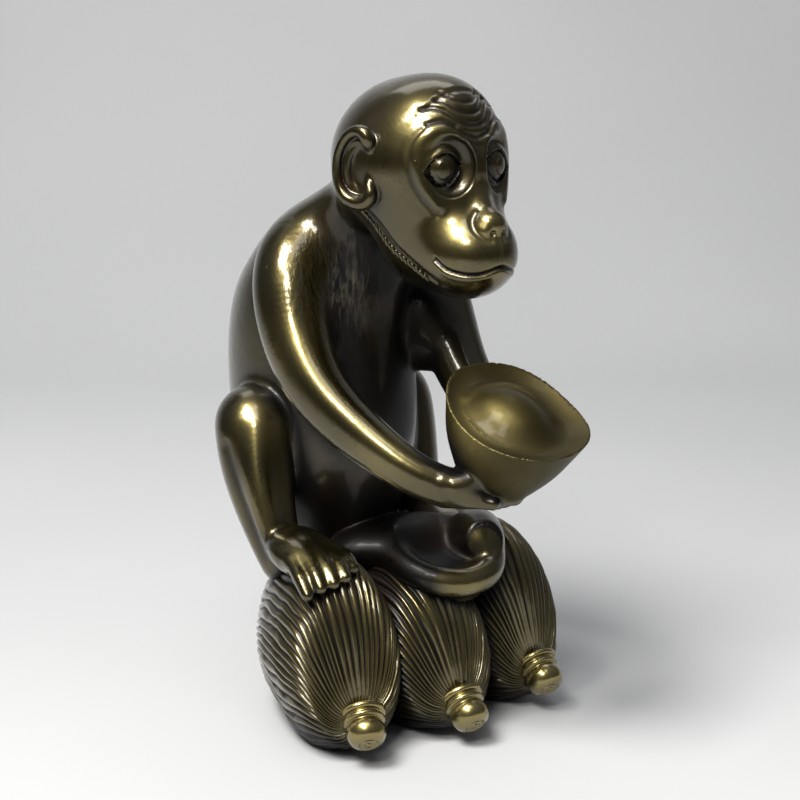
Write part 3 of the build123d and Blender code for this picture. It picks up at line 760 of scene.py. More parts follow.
@dataclass
class Skin:
    """The cast skin: every form in order, the distance to them all and who owns what."""

    head: HeadForm = field(default_factory=HeadForm)
    torso: TorsoForm = field(default_factory=TorsoForm)
    ingot: IngotForm = field(default_factory=IngotForm)
    crown: CrownForm = field(default_factory=CrownForm)
    step: float = 0.55
    pad: float = 5.0

    def __post_init__(self) -> None:
        stack = self.torso.stack()
        right, left = np.array([-1, 1, 1]), np.array([1, 1, 1])
        foot_right = FootForm(-1, (-23.6, 4.0, 41.4))
        foot_left = FootForm(1, (18.0, 8.0, 41.0))
        self.forms: list[Form] = [
            Form(Part.TORSO, stack.distance, (-19, 0, 36), (19, 54, 121), 1.0),
            Form(Part.HEAD, self.head.distance, (-18, -36, 96), (18, 15, 143), 4.0),
            boxed(Part.EAR_RIGHT, EarForm(-1).distance, EARS * right, 11, 0.7),
            boxed(Part.EAR_LEFT, EarForm(1).distance, EARS * left, 11, 0.7),
            limb(Part.ARM_RIGHT, RIGHT_ARM, 4.8, ARM_RIDGE * right),
            limb(Part.ARM_LEFT, LEFT_ARM, 4.8, ARM_RIDGE * left),
            boxed(Part.ARM_LEFT, armpit, ARMPIT, 10, 3.0),
            limb(Part.LEG_RIGHT, RIGHT_LEG, 2.0),
            limb(Part.LEG_RIGHT, SHIN, 1.6),
            limb(Part.LEG_LEFT, LEFT_LEG, 2.0),
            limb(Part.TAIL, TAIL, 1.0),
            boxed(Part.FOOT_RIGHT, foot_right.distance, foot_right.middle, 18, 1.2),
            boxed(Part.FOOT_LEFT, foot_left.distance, foot_left.middle, 18, 1.2),
            boxed(Part.HAND_RIGHT, HandForm(-1).distance, HANDS * right, 18, 1.4),
            boxed(Part.HAND_LEFT, HandForm(1).distance, HANDS * left, 18, 1.4),
            boxed(Part.BOWL, self.ingot.bowl, self.ingot.center, 22, 1.0),
            boxed(Part.DOME, self.ingot.dome, self.ingot.center, 14, 4.5),
            boxed(Part.CROWN, self.crown.distance, self.crown.center, 18, 0.8),
            boxed(Part.STUB, self.crown.cut_end, self.crown.stub, 12, 1.8),
        ]

    def distance(self, p: Array, pad: float | None = None) -> Array:
        """Distance to the whole skin, right up to pad away from it."""
        pad = pad or self.pad
        total = np.full(len(p), pad)
        for form in self.forms:
            near = np.flatnonzero(form.near(p, pad))
            if len(near):
                total[near] = smooth_min(total[near], form.distance(p[near]), form.blend)
        return total

    def shares(self, p: Array) -> Array:
        """Which form each point belongs to."""
        best = np.full(len(p), FAR)
        owner = np.zeros(len(p), int)
        for index, form in enumerate(self.forms):
            near = np.flatnonzero(form.near(p, self.pad))
            d = form.distance(p[near])
            closer = d < best[near]
            best[near[closer]] = d[closer]
            owner[near[closer]] = index
        return owner

    def slope(self, p: Array, reach: float = 0.05) -> tuple[Array, Array]:
        """Direction of steepest distance and the distance itself."""
        out = np.zeros_like(p)
        level = np.zeros(len(p))
        for corner in ((1, 1, 1), (1, -1, -1), (-1, 1, -1), (-1, -1, 1)):
            step = np.asarray(corner, float)
            d = self.distance(p + step * reach)
            out += d[:, None] * step
            level += d / 4
        return out / (4 * reach), level

    def bounds(self) -> tuple[Array, Array]:
        """Box of all the forms, with a margin."""
        low = np.min([f.low for f in self.forms], axis=0) - 2
        high = np.max([f.high for f in self.forms], axis=0) + 2
        return low, high


def net(
    distance: Callable[[Array], Array], low: Array, high: Array, step: float
) -> tuple[Array, Array]:
    """Vertices and quads over a form's surface, from a net of cells around it."""
    block, batch = 6, 300
    count = np.ceil((high - low) / (step * block)).astype(int)
    grid = lattice(count)
    centers = low + (grid + 0.5) * step * block
    close = np.abs(distance(centers)) < step * block * 1.25
    blocks = grid[close]
    size = count * block + 1
    values = np.full(size, FAR, np.float32)
    local = lattice([block + 1] * 3)
    for start in range(0, len(blocks), batch):
        some = blocks[start : start + batch]
        index = (some[:, None, :] * block + local[None]).reshape(-1, 3)
        values[index[:, 0], index[:, 1], index[:, 2]] = distance(low + index * step)
    inner = lattice([block] * 3)
    cells = (blocks[:, None, :] * block + inner[None]).reshape(-1, 3)
    corner = np.array([[i, j, k] for i in (0, 1) for j in (0, 1) for k in (0, 1)])
    held = np.stack([values[tuple((cells + c).T)] for c in corner], 1)
    mixed = (held.min(1) < 0) & (held.max(1) >= 0)
    cells, held = cells[mixed], held[mixed]
    total = np.zeros((len(cells), 3))
    hits = np.zeros(len(cells))
    for a in range(8):
        for b in range(a + 1, 8):
            if np.abs(corner[a] - corner[b]).sum() != 1:
                continue
            va, vb = held[:, a], held[:, b]
            cross = (va < 0) != (vb < 0)
            t = np.where(cross, va / np.where(cross, va - vb, 1), 0)
            total += np.where(cross[:, None], corner[a] + (corner[b] - corner[a]) * t[:, None], 0)
            hits += cross
    vertices = low + (cells + total / hits[:, None]) * step
    number = np.full(size, -1, np.int32)
    number[tuple(cells.T)] = np.arange(len(cells))
    quads = []
    for axis in range(3):
        u, v = (axis + 1) % 3, (axis + 2) % 3
        far = cells.copy()
        far[:, axis] += 1
        inside = values[tuple(cells.T)] < 0
        crossing = inside != (values[tuple(far.T)] < 0)
        base = cells[crossing]
        flip = inside[crossing]
        ring = []
        for du, dv in ((0, 0), (-1, 0), (-1, -1), (0, -1)):
            other = base.copy()
            other[:, u] += du
            other[:, v] += dv
            ring.append(number[tuple(other.T)])
        quad = np.stack(ring, 1)
        good = (quad >= 0).all(1)
        quad, flip = quad[good], flip[good]
        quads.append(np.where(flip[:, None], quad, quad[:, ::-1]))
    return vertices, np.vstack(quads)


# Meshes


def linked(name: str, data: bpy.types.ID) -> bpy.types.Object:
    """A new object in the scene."""
    thing = bpy.data.objects.new(name, data)
    bpy.context.scene.collection.objects.link(thing)
    return thing


@dataclass
class Shell:
    """Vertices and faces in millimetres with what the finish reads from each vertex."""

    name: str
    vertices: Array
    faces: list[Sequence[int]] | Array
    normals: Array | None = None
    marks: dict[str, Array] = field(default_factory=dict)

    def build(self, material: bpy.types.Material) -> bpy.types.Object:
        """The mesh object, smooth, with its attributes and finish."""
        mesh = bpy.data.meshes.new(self.name)
        faces = self.faces.tolist() if isinstance(self.faces, np.ndarray) else self.faces
        mesh.from_pydata((self.vertices * MM).tolist(), [], faces)
        mesh.update()
        for name, values in self.marks.items():
            values = np.asarray(values, np.float32)
            flat = values.ndim == 1
            mark = mesh.attributes.new(name, "FLOAT" if flat else "FLOAT_VECTOR", "POINT")
            mark.data.foreach_set("value" if flat else "vector", values.ravel())
        mesh.shade_smooth()
        if self.normals is not None:
            mesh.normals_split_custom_set_from_vertices(self.normals.tolist())
        mesh.materials.append(material)
        return linked(self.name, mesh)


def vertex_normals(vertices: Array, quads: Array) -> Array:
    """Normals of a quad net, weighted by area."""
    a, b, c, d = (vertices[quads[:, i]] for i in range(4))
    face = np.cross(c - a, d - b)
    out = np.zeros_like(vertices)
    for i in range(4):
        np.add.at(out, quads[:, i], face)
    return units(out)


def edges_of(quads: Array) -> Array:
    """The directed edges of the quads: every first edge, then every second, and so on."""
    return np.vstack([np.stack([quads[:, i], quads[:, (i + 1) % 4]], 1) for i in range(4)])


def boundary_loops(quads: Array) -> list[list[int]]:
    """The open edges of a patch of faces, joined into loops that run against the faces."""
    known = Counter(map(tuple, edges_of(quads).tolist()))
    after: dict[int, list[int]] = {}
    for (a, b), times in known.items():
        for _ in range(times - known.get((b, a), 0)):
            after.setdefault(b, []).append(a)
    loops = []
    while after:
        path = [next(iter(after))]
        while path[-1] in after:
            here = path[-1]
            following = after[here].pop()
            if not after[here]:
                del after[here]
            if following not in path:
                path.append(following)
                continue
            first = path.index(following)
            loops.append(path[first:])
            del path[first + 1 :]
            if first == 0:
                break
    return loops


def neighbours(quads: Array) -> Array:
    """Pairs of faces that share an edge."""
    edges = np.sort(edges_of(quads), 1)
    face = np.tile(np.arange(len(quads)), 4)
    order = np.lexsort((edges[:, 1], edges[:, 0]))
    same = np.all(edges[order][1:] == edges[order][:-1], axis=1)
    return np.stack([face[order][:-1][same], face[order][1:][same]], 1)


def tidied(owner: Array, pairs: Array, count: int, passes: int = 6, loyalty: float = 1.5) -> Array:
    """Each face's piece, with ragged edges and stray faces given to their neighbours."""
    faces = np.arange(len(owner))
    for _ in range(passes):
        votes = np.zeros((len(owner), count))
        np.add.at(votes, (pairs[:, 0], owner[pairs[:, 1]]), 1.0)
        np.add.at(votes, (pairs[:, 1], owner[pairs[:, 0]]), 1.0)
        votes[faces, owner] += loyalty
        owner = votes.argmax(1)
    return owner


def ring_net(rings: Array) -> tuple[Array, list[list[int]]]:
    """Vertices and faces of rings in a row, closed at either end by a fan."""
    rows, count, _ = rings.shape
    vertices = np.vstack([rings.reshape(-1, 3), rings[0].mean(0), rings[-1].mean(0)])
    i = np.arange(rows - 1)[:, None] * count
    j = np.arange(count)[None]
    k = (j + 1) % count
    quads = np.stack([i + j, i + k, i + count + k, i + count + j], -1).reshape(-1, 4)
    faces = quads.tolist()
    first, last = len(vertices) - 2, len(vertices) - 1
    base = (rows - 1) * count
    for a in range(count):
        b = (a + 1) % count
        faces.append([first, b, a])
        faces.append([last, base + a, base + b])
    return vertices, faces


def halved(points: Array, quads: Array) -> tuple[Array, Array]:
    """Each quad made into four."""
    single, back = np.unique(np.sort(edges_of(quads), 1), axis=0, return_inverse=True)
    middles = points[single].mean(1)
    centers = points[quads].mean(1)
    count = len(quads)
    edge = back.reshape(4, count).T + len(points)
    face = np.arange(count) + len(points) + len(middles)
    made = [np.stack([quads[:, i], edge[:, i], face, edge[:, i - 1]], 1) for i in range(4)]
    return np.vstack([points, middles, centers]), np.vstack(made)


# Node trees

Socket = bpy.types.NodeSocket
Value = Socket | float | Sequence[float]


class Nodes:
    """A node tree, filled one call at a time."""

    tree: bpy.types.NodeTree

    def add(self, kind: str, settings: dict | None = None, **links: Value) -> bpy.types.Node:
        """A node with its settings; links and values go to its inputs by name or number."""
        node = self.tree.nodes.new(kind)
        for key, value in (settings or {}).items():
            setattr(node, key, value)
        for key, value in links.items():
            numbered = key[0] == "i" and key[1:].isdigit()
            socket = node.inputs[int(key[1:]) if numbered else key.replace("_", " ")]
            if isinstance(value, Socket):
                self.tree.links.new(value, socket)
            else:
                socket.default_value = value
        return node

    def math(self, operation: str, a: Value, b: Value = 0.0, clamp: bool = False) -> Socket:
        """One sum."""
        settings = {"operation": operation, "use_clamp": clamp}
        return self.add("ShaderNodeMath", settings, i0=a, i1=b).outputs[0]

    def plus(self, a: Value, b: Value, clamp: bool = False) -> Socket:
        """The two added."""
        return self.math("ADD", a, b, clamp)

    def minus(self, a: Value, b: Value, clamp: bool = False) -> Socket:
        """The second taken from the first."""
        return self.math("SUBTRACT", a, b, clamp)

    def times(self, a: Value, b: Value, clamp: bool = False) -> Socket:
        """The two multiplied."""
        return self.math("MULTIPLY", a, b, clamp)


class Growth(Nodes):
    """A Geometry Nodes tree with named inputs, ending in real geometry and its finish."""

    def __init__(self, name: str, sizes: dict[str, float]) -> None:
        self.tree = bpy.data.node_groups.new(name, "GeometryNodeTree")
        face = self.tree.interface
        face.new_socket("Geometry", in_out="INPUT", socket_type="NodeSocketGeometry")
        for size, usual in sizes.items():
            socket = face.new_socket(size, in_out="INPUT", socket_type="NodeSocketFloat")
            socket.default_value = usual
        face.new_socket("Finish", in_out="INPUT", socket_type="NodeSocketMaterial")
        face.new_socket("Geometry", in_out="OUTPUT", socket_type="NodeSocketGeometry")
        self.given = self.tree.nodes.new("NodeGroupInput").outputs

    def vector(self, operation: str, a: Value, **rest: Value) -> Socket:
        """One sum of vectors."""
        return self.add("ShaderNodeVectorMath", {"operation": operation}, i0=a, **rest).outputs[0]

    def named(self, name: str, kind: str = "FLOAT") -> Socket:
        """An attribute of the mesh that comes in."""
        node = self.add("GeometryNodeInputNamedAttribute", {"data_type": kind}, Name=name)
        return node.outputs[0]

    def finish(self, geometry: Socket) -> None:
        """Real geometry with its finish, handed out."""
        real = self.add("GeometryNodeRealizeInstances", None, Geometry=geometry).outputs[0]
        done = self.add(
            "GeometryNodeSetMaterial", None, Geometry=real, Material=self.given["Finish"]
        )
        out = self.tree.nodes.new("NodeGroupOutput")
        self.tree.links.new(done.outputs[0], out.inputs[0])

    def grow(self, piece: bpy.types.Object, finish: bpy.types.Material, **sizes: float) -> None:
        """The piece's mesh made over into what the tree grows from it."""
        modifier = piece.modifiers.new("growth", "NODES")
        modifier.node_group = self.tree
        for item in self.tree.interface.items_tree:
            if item.in_out != "INPUT" or item.name == "Geometry":
                continue
            if item.name == "Finish":
                modifier[item.identifier] = finish
            elif item.name.lower() in sizes:
                modifier[item.identifier] = float(sizes[item.name.lower()])
        bpy.context.view_layer.update()
        seen = piece.evaluated_get(bpy.context.evaluated_depsgraph_get())
        mesh = bpy.data.meshes.new_from_object(seen)
        piece.modifiers.clear()
        piece.data = mesh


BROAD_SWAY = (2.6, 2.6, 3.4)
FINE_SWAY = (7.0, 7.0, 9.0)
UNEVEN_CORDS = (10.0, 10.0, 1.6)
STROKE_SEED = 7


def rib_growth() -> Growth:
    """Fine cords that run from one end of a fruit to the other, uneven and wandering."""
    g = Growth("ribs", {"Ribs": 56.0, "Depth": 0.0006, "Wander": 0.5, "Seed": 1.0})
    around = g.named("around", "FLOAT_VECTOR")
    turn, fade, keel = g.named("turn"), g.named("fade"), g.named("keel")

    def cloud(stretch: Point) -> Socket:
        place = g.vector("MULTIPLY", around, i1=stretch)
        seed = g.given["Seed"]
        shift = g.add("ShaderNodeCombineXYZ", None, X=seed, Y=seed).outputs[0]
        place = g.vector("ADD", place, i1=shift)
        return g.add("ShaderNodeTexNoise", None, Vector=place, Scale=1.0, Detail=1.0).outputs[0]

    sway = g.minus(cloud(BROAD_SWAY), 0.5)
    small = g.minus(cloud(FINE_SWAY), 0.5)
    sway = g.times(g.plus(g.times(sway, 4.0), small), g.given["Wander"])
    phase = g.plus(g.times(turn, g.given["Ribs"]), sway)
    wave = g.math("COSINE", g.times(phase, math.pi))
    cord = g.math("POWER", g.math("ABSOLUTE", wave), 0.75)
    cord = g.times(cord, g.plus(g.times(cloud(UNEVEN_CORDS), 0.9), 0.45))
    cord = g.plus(g.times(cord, g.minus(1.0, keel)), g.times(keel, 1.1))
    fall = g.times(g.minus(cord, 1.0), fade)
    normal = g.add("GeometryNodeInputNormal").outputs[0]
    move = g.vector("SCALE", normal, Scale=g.times(fall, g.given["Depth"]))
    moved = g.add("GeometryNodeSetPosition", None, Geometry=g.given["Geometry"], Offset=move)
    relief = g.plus(g.times(fall, 1.5), 1.1)
    stored = g.add(
        "GeometryNodeStoreNamedAttribute", None,
        Geometry=moved.outputs[0], Name="relief", Value=relief,
    )
    g.finish(stored.outputs[0])
    return g


def stroke_growth() -> Growth:
    """Small rounded strokes, one on each point, lying along the point's lean."""
    g = Growth(
        "strokes", {"Length": 0.001, "Width": 0.0005, "Thickness": 0.0005, "Unevenness": 0.2}
    )
    bead = g.add("GeometryNodeMeshIcoSphere", None, Radius=1.0, Subdivisions=3).outputs[0]
    lean, facing = g.named("lean", "FLOAT_VECTOR"), g.named("facing", "FLOAT_VECTOR")
    align = "FunctionNodeAlignRotationToVector"
    turn = g.add(align, {"axis": "Z"}, Vector=lean).outputs[0]
    turn = g.add(align, {"axis": "Y", "pivot_axis": "Z"}, Rotation=turn, Vector=facing).outputs[0]
    size = g.add(
        "ShaderNodeCombineXYZ", None,
        X=g.given["Width"], Y=g.given["Thickness"], Z=g.given["Length"],
    ).outputs[0]
    low = g.minus(1.0, g.given["Unevenness"])
    change = g.add(
        "FunctionNodeRandomValue", {"data_type": "FLOAT"}, i2=low, i3=1.0, Seed=STROKE_SEED
    )
    size = g.vector("SCALE", size, Scale=change.outputs[1])
    laid = g.add(
        "GeometryNodeInstanceOnPoints", None,
        Points=g.given["Geometry"], Instance=bead, Rotation=turn, Scale=size,
    )
    g.finish(laid.outputs[0])
    return g


# Fruits

FRUIT_SECTIONS = (
    (0.00, 0.31, 0.14, 0.32), (0.02, 0.58, 0.09, 0.48), (0.07, 0.82, 0.07, 0.71),
    (0.16, 0.96, 0.05, 0.89), (0.29, 1.00, 0.02, 0.99), (0.46, 0.98, 0.02, 1.00),
    (0.65, 0.88, 0.02, 0.94), (0.82, 0.68, 0.05, 0.81), (0.93, 0.44, 0.11, 0.66),
    (1.00, 0.16, 0.24, 0.48),
)
TIP_PROFILE = (
    (0.00, 0.96), (0.06, 1.10), (0.13, 1.12), (0.18, 1.06), (0.21, 0.92), (0.25, 0.90),
    (0.29, 1.00), (0.34, 1.01), (0.38, 0.96), (0.41, 0.84), (0.46, 0.86), (0.55, 0.92),
    (0.66, 0.94), (0.78, 0.89), (0.89, 0.77), (0.955, 0.60), (0.975, 0.48), (0.955, 0.42),
    (0.955, 0.38), (0.985, 0.34), (0.99, 0.24), (0.965, 0.20), (0.965, 0.15), (1.00, 0.10),
    (1.00, 0.02),
)
POINTS_PER_RIB = 8
TIP_SIDES = 96


@dataclass(frozen=True)
class Fruit:
    """One plump fruit: a body of fine wandering ribs and the collared tip that it runs into."""

    name: str
    spread: float
    fan: float
    setback: float
    length: float
    width: float = 26.0
    height: float = 42.0
    front: float = 19.0
    neck_height: float = 9.6
    tip_length: float = 8.4
    tip_radius: float = 4.5
    tip_dip: float = 36.0
    tip_turn: float = -16.0
    ribs: int = 50
    seed: int = 1
    keel: float | None = None

    @property
    def back(self) -> Array:
        """Direction from the neck to the rear of the fruit."""
        a = math.radians(self.fan)
        return np.array([-math.sin(a), math.cos(a), 0.0])

    @property
    def across(self) -> Array:
        """Direction across the fruit."""
        return np.array([self.back[1], -self.back[0], 0.0])

    @property
    def neck(self) -> Array:
        """Where the tip carries on."""
        return np.array([self.spread, self.setback - self.front, 0.0])

    def sections(self) -> Array:
        """The body's sections: along, half width, half height, middle height."""
        s = curve_points(FRUIT_SECTIONS, 8)
        sink = 0.07 * np.sin(np.pi * np.minimum(s[:, 0] * 1.6, 1))
        half = self.height * (s[:, 3] - s[:, 2] + sink) / 2
        middle = self.height * (s[:, 3] + s[:, 2] - sink) / 2
        return np.stack([s[:, 0], self.width * s[:, 1] / 2, half, middle], 1)

    def distance(self, p: Array) -> Array:
        """Rough distance to the plain body, for shading its neighbours."""
        q = p - self.neck
        along = np.clip((q @ self.back) / self.length, 0, 1)
        s = self.sections()
        rx, rz, z0 = (np.interp(along, s[:, 0], s[:, i]) for i in (1, 2, 3))
        near = np.hypot((q @ self.across) / rx, (q[:, 2] - z0) / rz)
        side = (near - 1) * np.minimum(rx, rz)
        ends = np.maximum(-(q @ self.back), q @ self.back - self.length)
        return np.maximum(side, ends)

    def keel_share(self, turn: Array, along: float) -> Array:
        """How far each point of a ring lies on the smooth keel."""
        if self.keel is None:
            return np.zeros(len(turn))
        off = (turn - self.keel - 0.010 * math.sin(9 * along) + 0.5) % 1.0 - 0.5
        share = np.exp(-((off / (0.011 + 0.016 * along)) ** 4))
        return share * (1 - ramp(np.full(len(turn), along), 0.5, 0.8))

    def body(self) -> Shell:
        """The plain body with its foot flat on the ground, marked with where its ribs run."""
        s = curve_points(self.sections(), 2)
        widest = s[np.argmax(s[:, 1])]
        fine = np.linspace(0, 2 * np.pi, 2001)
        run = np.hypot(np.diff(widest[1] * np.cos(fine)), np.diff(widest[2] * np.sin(fine)))
        run = np.concatenate([[0], np.cumsum(run)]) / run.sum()
        turn = np.arange(self.ribs * POINTS_PER_RIB) / (self.ribs * POINTS_PER_RIB)
        angle = np.interp(turn, run, fine)
        rings, fades, keels, around = [], [], [], []
        spread = [np.cos(2 * np.pi * turn), np.sin(2 * np.pi * turn)]
        for along, rx, rz, z0 in s:
            z = z0 + rz * np.sin(angle)
            middle = self.neck + self.back * (self.length * along)
            ring = middle + (rx * np.cos(angle))[:, None] * self.across
            ring[:, 2] = np.maximum(z, 0.0)
            rings.append(ring)
            place = np.full(len(angle), along)
            fade = ramp(place, -0.01, 0.03) * (1 - ramp(place, 0.9, 1.0)) * ramp(z, 0.2, 2.2)
            fades.append(fade * min(rx / 6.0, 1.0))
            keels.append(self.keel_share(turn, along))
            around.append(np.column_stack([*spread, place]))
        vertices, faces = ring_net(np.array(rings))
        ends = np.zeros(2)
        marks = {
            "turn": np.concatenate([np.tile(turn, len(s)), ends]),
            "fade": np.concatenate([np.ravel(fades), ends]),
            "keel": np.concatenate([np.ravel(keels), ends]),
            "around": np.vstack([*around, np.zeros((2, 3))]),
        }
        return Shell(self.name, vertices, [f[::-1] for f in faces], None, marks)

    def tip(self) -> Shell:
        """The collared tip, lathed, with rings cut in its end."""
        a, b = math.radians(self.tip_turn), math.radians(self.tip_dip)
        out = np.array([math.sin(a) * math.cos(b), -math.cos(a) * math.cos(b), -math.sin(b)])
        start = self.neck + np.array([0, 0, self.neck_height + 0.6]) - out * 1.6
        side = unit(np.cross(out, (0.0, 0.0, 1.0)))
        up = np.cross(side, out)
        angle = np.linspace(0, 2 * np.pi, TIP_SIDES, endpoint=False)
        circle = np.cos(angle)[:, None] * side + np.sin(angle)[:, None] * up
        rings = [
            start + out * (self.tip_length * along) + self.tip_radius * reach * circle
            for along, reach in curve_points(TIP_PROFILE, 4)
        ]
        vertices, faces = ring_net(np.array(rings))
        marks = {"relief": np.ones(len(vertices))}
        name = self.name.replace("fruit", "fruit_tip")
        return Shell(name, vertices, [f[::-1] for f in faces], None, marks)


FRUITS = (
    Fruit(
        "fruit_middle", 1.0, 0.0, -1.4, 56.0, width=28.0, height=38.5,
        neck_height=8.6, tip_turn=-8.0, seed=3, keel=0.285,
    ),
    Fruit("fruit_left", 26.2, 8.0, 2.4, 45.0, seed=5, tip_turn=-8.0),
    Fruit("fruit_right", -23.0, -11.0, 2.4, 45.0, seed=8, tip_turn=-24.0),
)


# Finishes


def linear(code: str) -> tuple[float, float, float, float]:
    """A hex colour as linear light."""
    parts = [int(code[i : i + 2], 16) / 255 for i in (1, 3, 5)]
    light = [c / 12.92 if c <= 0.04045 else ((c + 0.055) / 1.055) ** 2.4 for c in parts]
    return (*light, 1.0)


class Graph(Nodes):
    """A material's nodes."""

    def __init__(self, name: str) -> None:
        self.material = bpy.data.materials.new(name)
        self.material.use_nodes = True
        self.tree = self.material.node_tree
        self.tree.nodes.clear()

    def ramp(self, factor: Socket, stops: Sequence[tuple[float, str]]) -> Socket:
        """A colour ramp through hex colours."""
        node = self.add("ShaderNodeValToRGB", None, Fac=factor)
        held = node.color_ramp.elements
        while len(held) < len(stops):
            held.new(0.5)
        for element, (place, code) in zip(held, stops):
            element.position = place
            element.color = linear(code)
        return node.outputs[0]

    def mix(self, color: Socket, code: str, share: Socket) -> Socket:
        """The colour moved towards a hex colour by a share."""
        settings = {"data_type": "RGBA"}
        node = self.add("ShaderNodeMix", settings, Factor=share, i6=color, i7=linear(code))
        return node.outputs[2]

    def noise(self, place: Socket, **looks: float) -> Socket:
        """A cloudy noise."""
        return self.add("ShaderNodeTexNoise", None, Vector=place, **looks).outputs[0]

    def over(self, value: Socket, level: float, gain: float) -> Socket:
        """What of a value is over a level, made steeper."""
        return self.times(self.minus(value, level, True), gain, True)

    def finish(self, shader: bpy.types.Node) -> bpy.types.Material:
        """The material with this shader on its surface."""
        self.add("ShaderNodeOutputMaterial", None, Surface=shader.outputs[0])
        return self.material


class Noise(Enum):
    """The noises in the brass: scale per metre, detail and roughness."""

    BROAD = (38.0, 3.0, 0.6)
    PATCH = (150.0, 5.0, 0.7)
    GRAIN = (1100.0, 2.0, 0.6)
    EARTH = (62.0, 4.0, 0.6)
    GREEN = (30.0, 2.0, 0.6)
    HOLES = (260.0, 1.0, 0.6)
    WAVES = (240.0, 2.0, 0.6)


@dataclass(frozen=True)
class AgedBrass:
    """Cast yellow brass, chemically darkened, waxed and rubbed back by hand.

    The hollows keep a dull brown-black skin, the open surfaces show olive brass through it, and
    the most handled places are pale yellow metal. The dark skin colour is also painted as shade
    under and between parts, and the pale metal is partly a painted highlight on the lit side.
    A thin wax gives the casting its white glints.
    """

    name: str
    hollow: str = "#0b0806"
    # Darkest colour: patina in the hollows, and also the painted shade under and between parts.
    skin: str = "#342d17"
    rubbed: str = "#50482a"
    bare: str = "#9c8e58"
    earth: str = "#30190b"
    green: str = "#2f3320"
    earth_share: float = 0.55
    green_share: float = 0.35
    roughness: float = 0.27
    wax: float = 0.85
    wax_roughness: float = 0.13
    pits: float = 0.25
    pit_darkness: float = 0.8
    hair_turn: Point = (0.5, 0.4, 0.0)
    hair_scale: Point = (900.0, 900.0, 220.0)
    hair_contrast: float = 2.6
    unevenness: tuple[float, float, float] = (0.5, 0.28, 0.14)
    bump_height: float = 0.0004

    def build(self) -> bpy.types.Material:
        """The material."""
        g = Graph(self.name)
        place = g.add("ShaderNodeTexCoord").outputs["Object"]

        def cloud(kind: Noise) -> Socket:
            scale, detail, rough = kind.value
            return g.noise(place, Scale=scale, Detail=detail, Roughness=rough)

        def around_zero(value: Socket, reach: float) -> Socket:
            return g.times(g.minus(value, 0.5), reach)

        def mark(name: str) -> Socket:
            return g.add("ShaderNodeAttribute", {"attribute_name": name}).outputs["Fac"]

        turned = g.add(
            "ShaderNodeMapping", None, Vector=place, Rotation=self.hair_turn, Scale=self.hair_scale
        )
        hairs = g.noise(turned.outputs[0], Scale=1.0, Detail=2.0)
        hairs = g.times(around_zero(hairs, self.hair_contrast), mark("fur"))
        broad, patch, grain = cloud(Noise.BROAD), cloud(Noise.PATCH), cloud(Noise.GRAIN)
        # Painted shade: the cavity mark darkens hollows, undersides near the ground and places
        # between parts; noise and fur add real unevenness.
        wear_and_unshaded = g.times(g.minus(1.0, mark("cavity"), True), mark("relief"))
        for noise, reach in zip((broad, patch, grain), self.unevenness):
            wear_and_unshaded = g.plus(wear_and_unshaded, around_zero(noise, reach), noise is grain)
        wear_and_unshaded = g.plus(wear_and_unshaded, hairs, True)
        # Colour runs from the dark hollow colour (patina and painted shade) to the olive of open
        # metal.
        color = g.ramp(wear_and_unshaded, ((0.10, self.hollow), (0.52, self.skin), (0.95, self.rubbed)))
        warm = g.times(g.over(cloud(Noise.EARTH), 0.52, 5.0), g.minus(1.1, wear_and_unshaded, True))
        color = g.mix(color, self.earth, g.times(warm, self.earth_share))
        moss = g.over(cloud(Noise.GREEN), 0.5, 3.0)
        color = g.mix(color, self.green, g.times(moss, self.green_share))
        # Pale bare metal on rubbed places: handling wear, and on the lit side also a painted
        # highlight.
        color = g.mix(color, self.bare, g.times(mark("rub"), wear_and_unshaded))
        speck = g.add("ShaderNodeTexVoronoi", {"feature": "F1"}, Vector=place, Scale=420.0)
        small = g.math("LESS_THAN", speck.outputs[0], 0.17)
        hole = g.times(small, g.over(cloud(Noise.HOLES), 0.62, 6.0))
        color = g.mix(color, self.hollow, g.times(hole, self.pit_darkness))
        rough = g.plus(g.times(wear_and_unshaded, -0.20), self.roughness + 0.20)
        rough = g.plus(rough, around_zero(patch, 0.16))
        metal = g.plus(g.times(wear_and_unshaded, 0.45), 0.6, True)
        height = g.plus(hairs, g.times(hole, -self.pits))
        height = g.plus(height, g.times(cloud(Noise.WAVES), 0.30))
        height = g.plus(height, g.times(grain, 0.05))
        bump = g.add(
            "ShaderNodeBump", None, Strength=0.5, Distance=self.bump_height, Height=height
        ).outputs[0]
        wax = g.times(g.plus(g.times(wear_and_unshaded, 1.7), 0.08, True), self.wax)
        shader = g.add(
            "ShaderNodeBsdfPrincipled", None,
            Base_Color=color, Metallic=metal, Roughness=rough, Normal=bump,
            Coat_Weight=wax, Coat_Roughness=self.wax_roughness, Coat_Normal=bump,
        )
        return g.finish(shader)


# The assemblies

FINE = (
    Part.HEAD, Part.EAR_RIGHT, Part.EAR_LEFT, Part.HAND_RIGHT, Part.HAND_LEFT, Part.FOOT_RIGHT,
    Part.FOOT_LEFT, Part.STUB, Part.DOME, Part.BOWL, Part.EYE_LEFT, Part.EYE_RIGHT,
)
MONKEY, INGOT, FRUIT = "monkey_brass", "ingot_brass", "fruit_brass"
SLOTS = {Part.BOWL: INGOT, Part.DOME: INGOT, Part.CROWN: FRUIT, Part.STUB: FRUIT}
CALF_FOLD = ((-30.2, 22.5, 62.0), (-30.6, 18.8, 54.0), (-29.6, 14.8, 46.0), (-27.6, 11.4, 40.0))


@dataclass(frozen=True)
class Smudge:
    """A soft-edged spot on the casting: its middle, reach and strength, and how it is drawn out."""

    middle: Point
    reach: float
    strength: float = 1.0
    stretch: Point = (1.0, 1.0, 1.0)

    def over(self, points: Array) -> Array:
        """How strongly the spot covers each point."""
        away = np.linalg.norm((points - np.array(self.middle)) / self.stretch, axis=1)
        return self.strength * groove(away, self.reach)
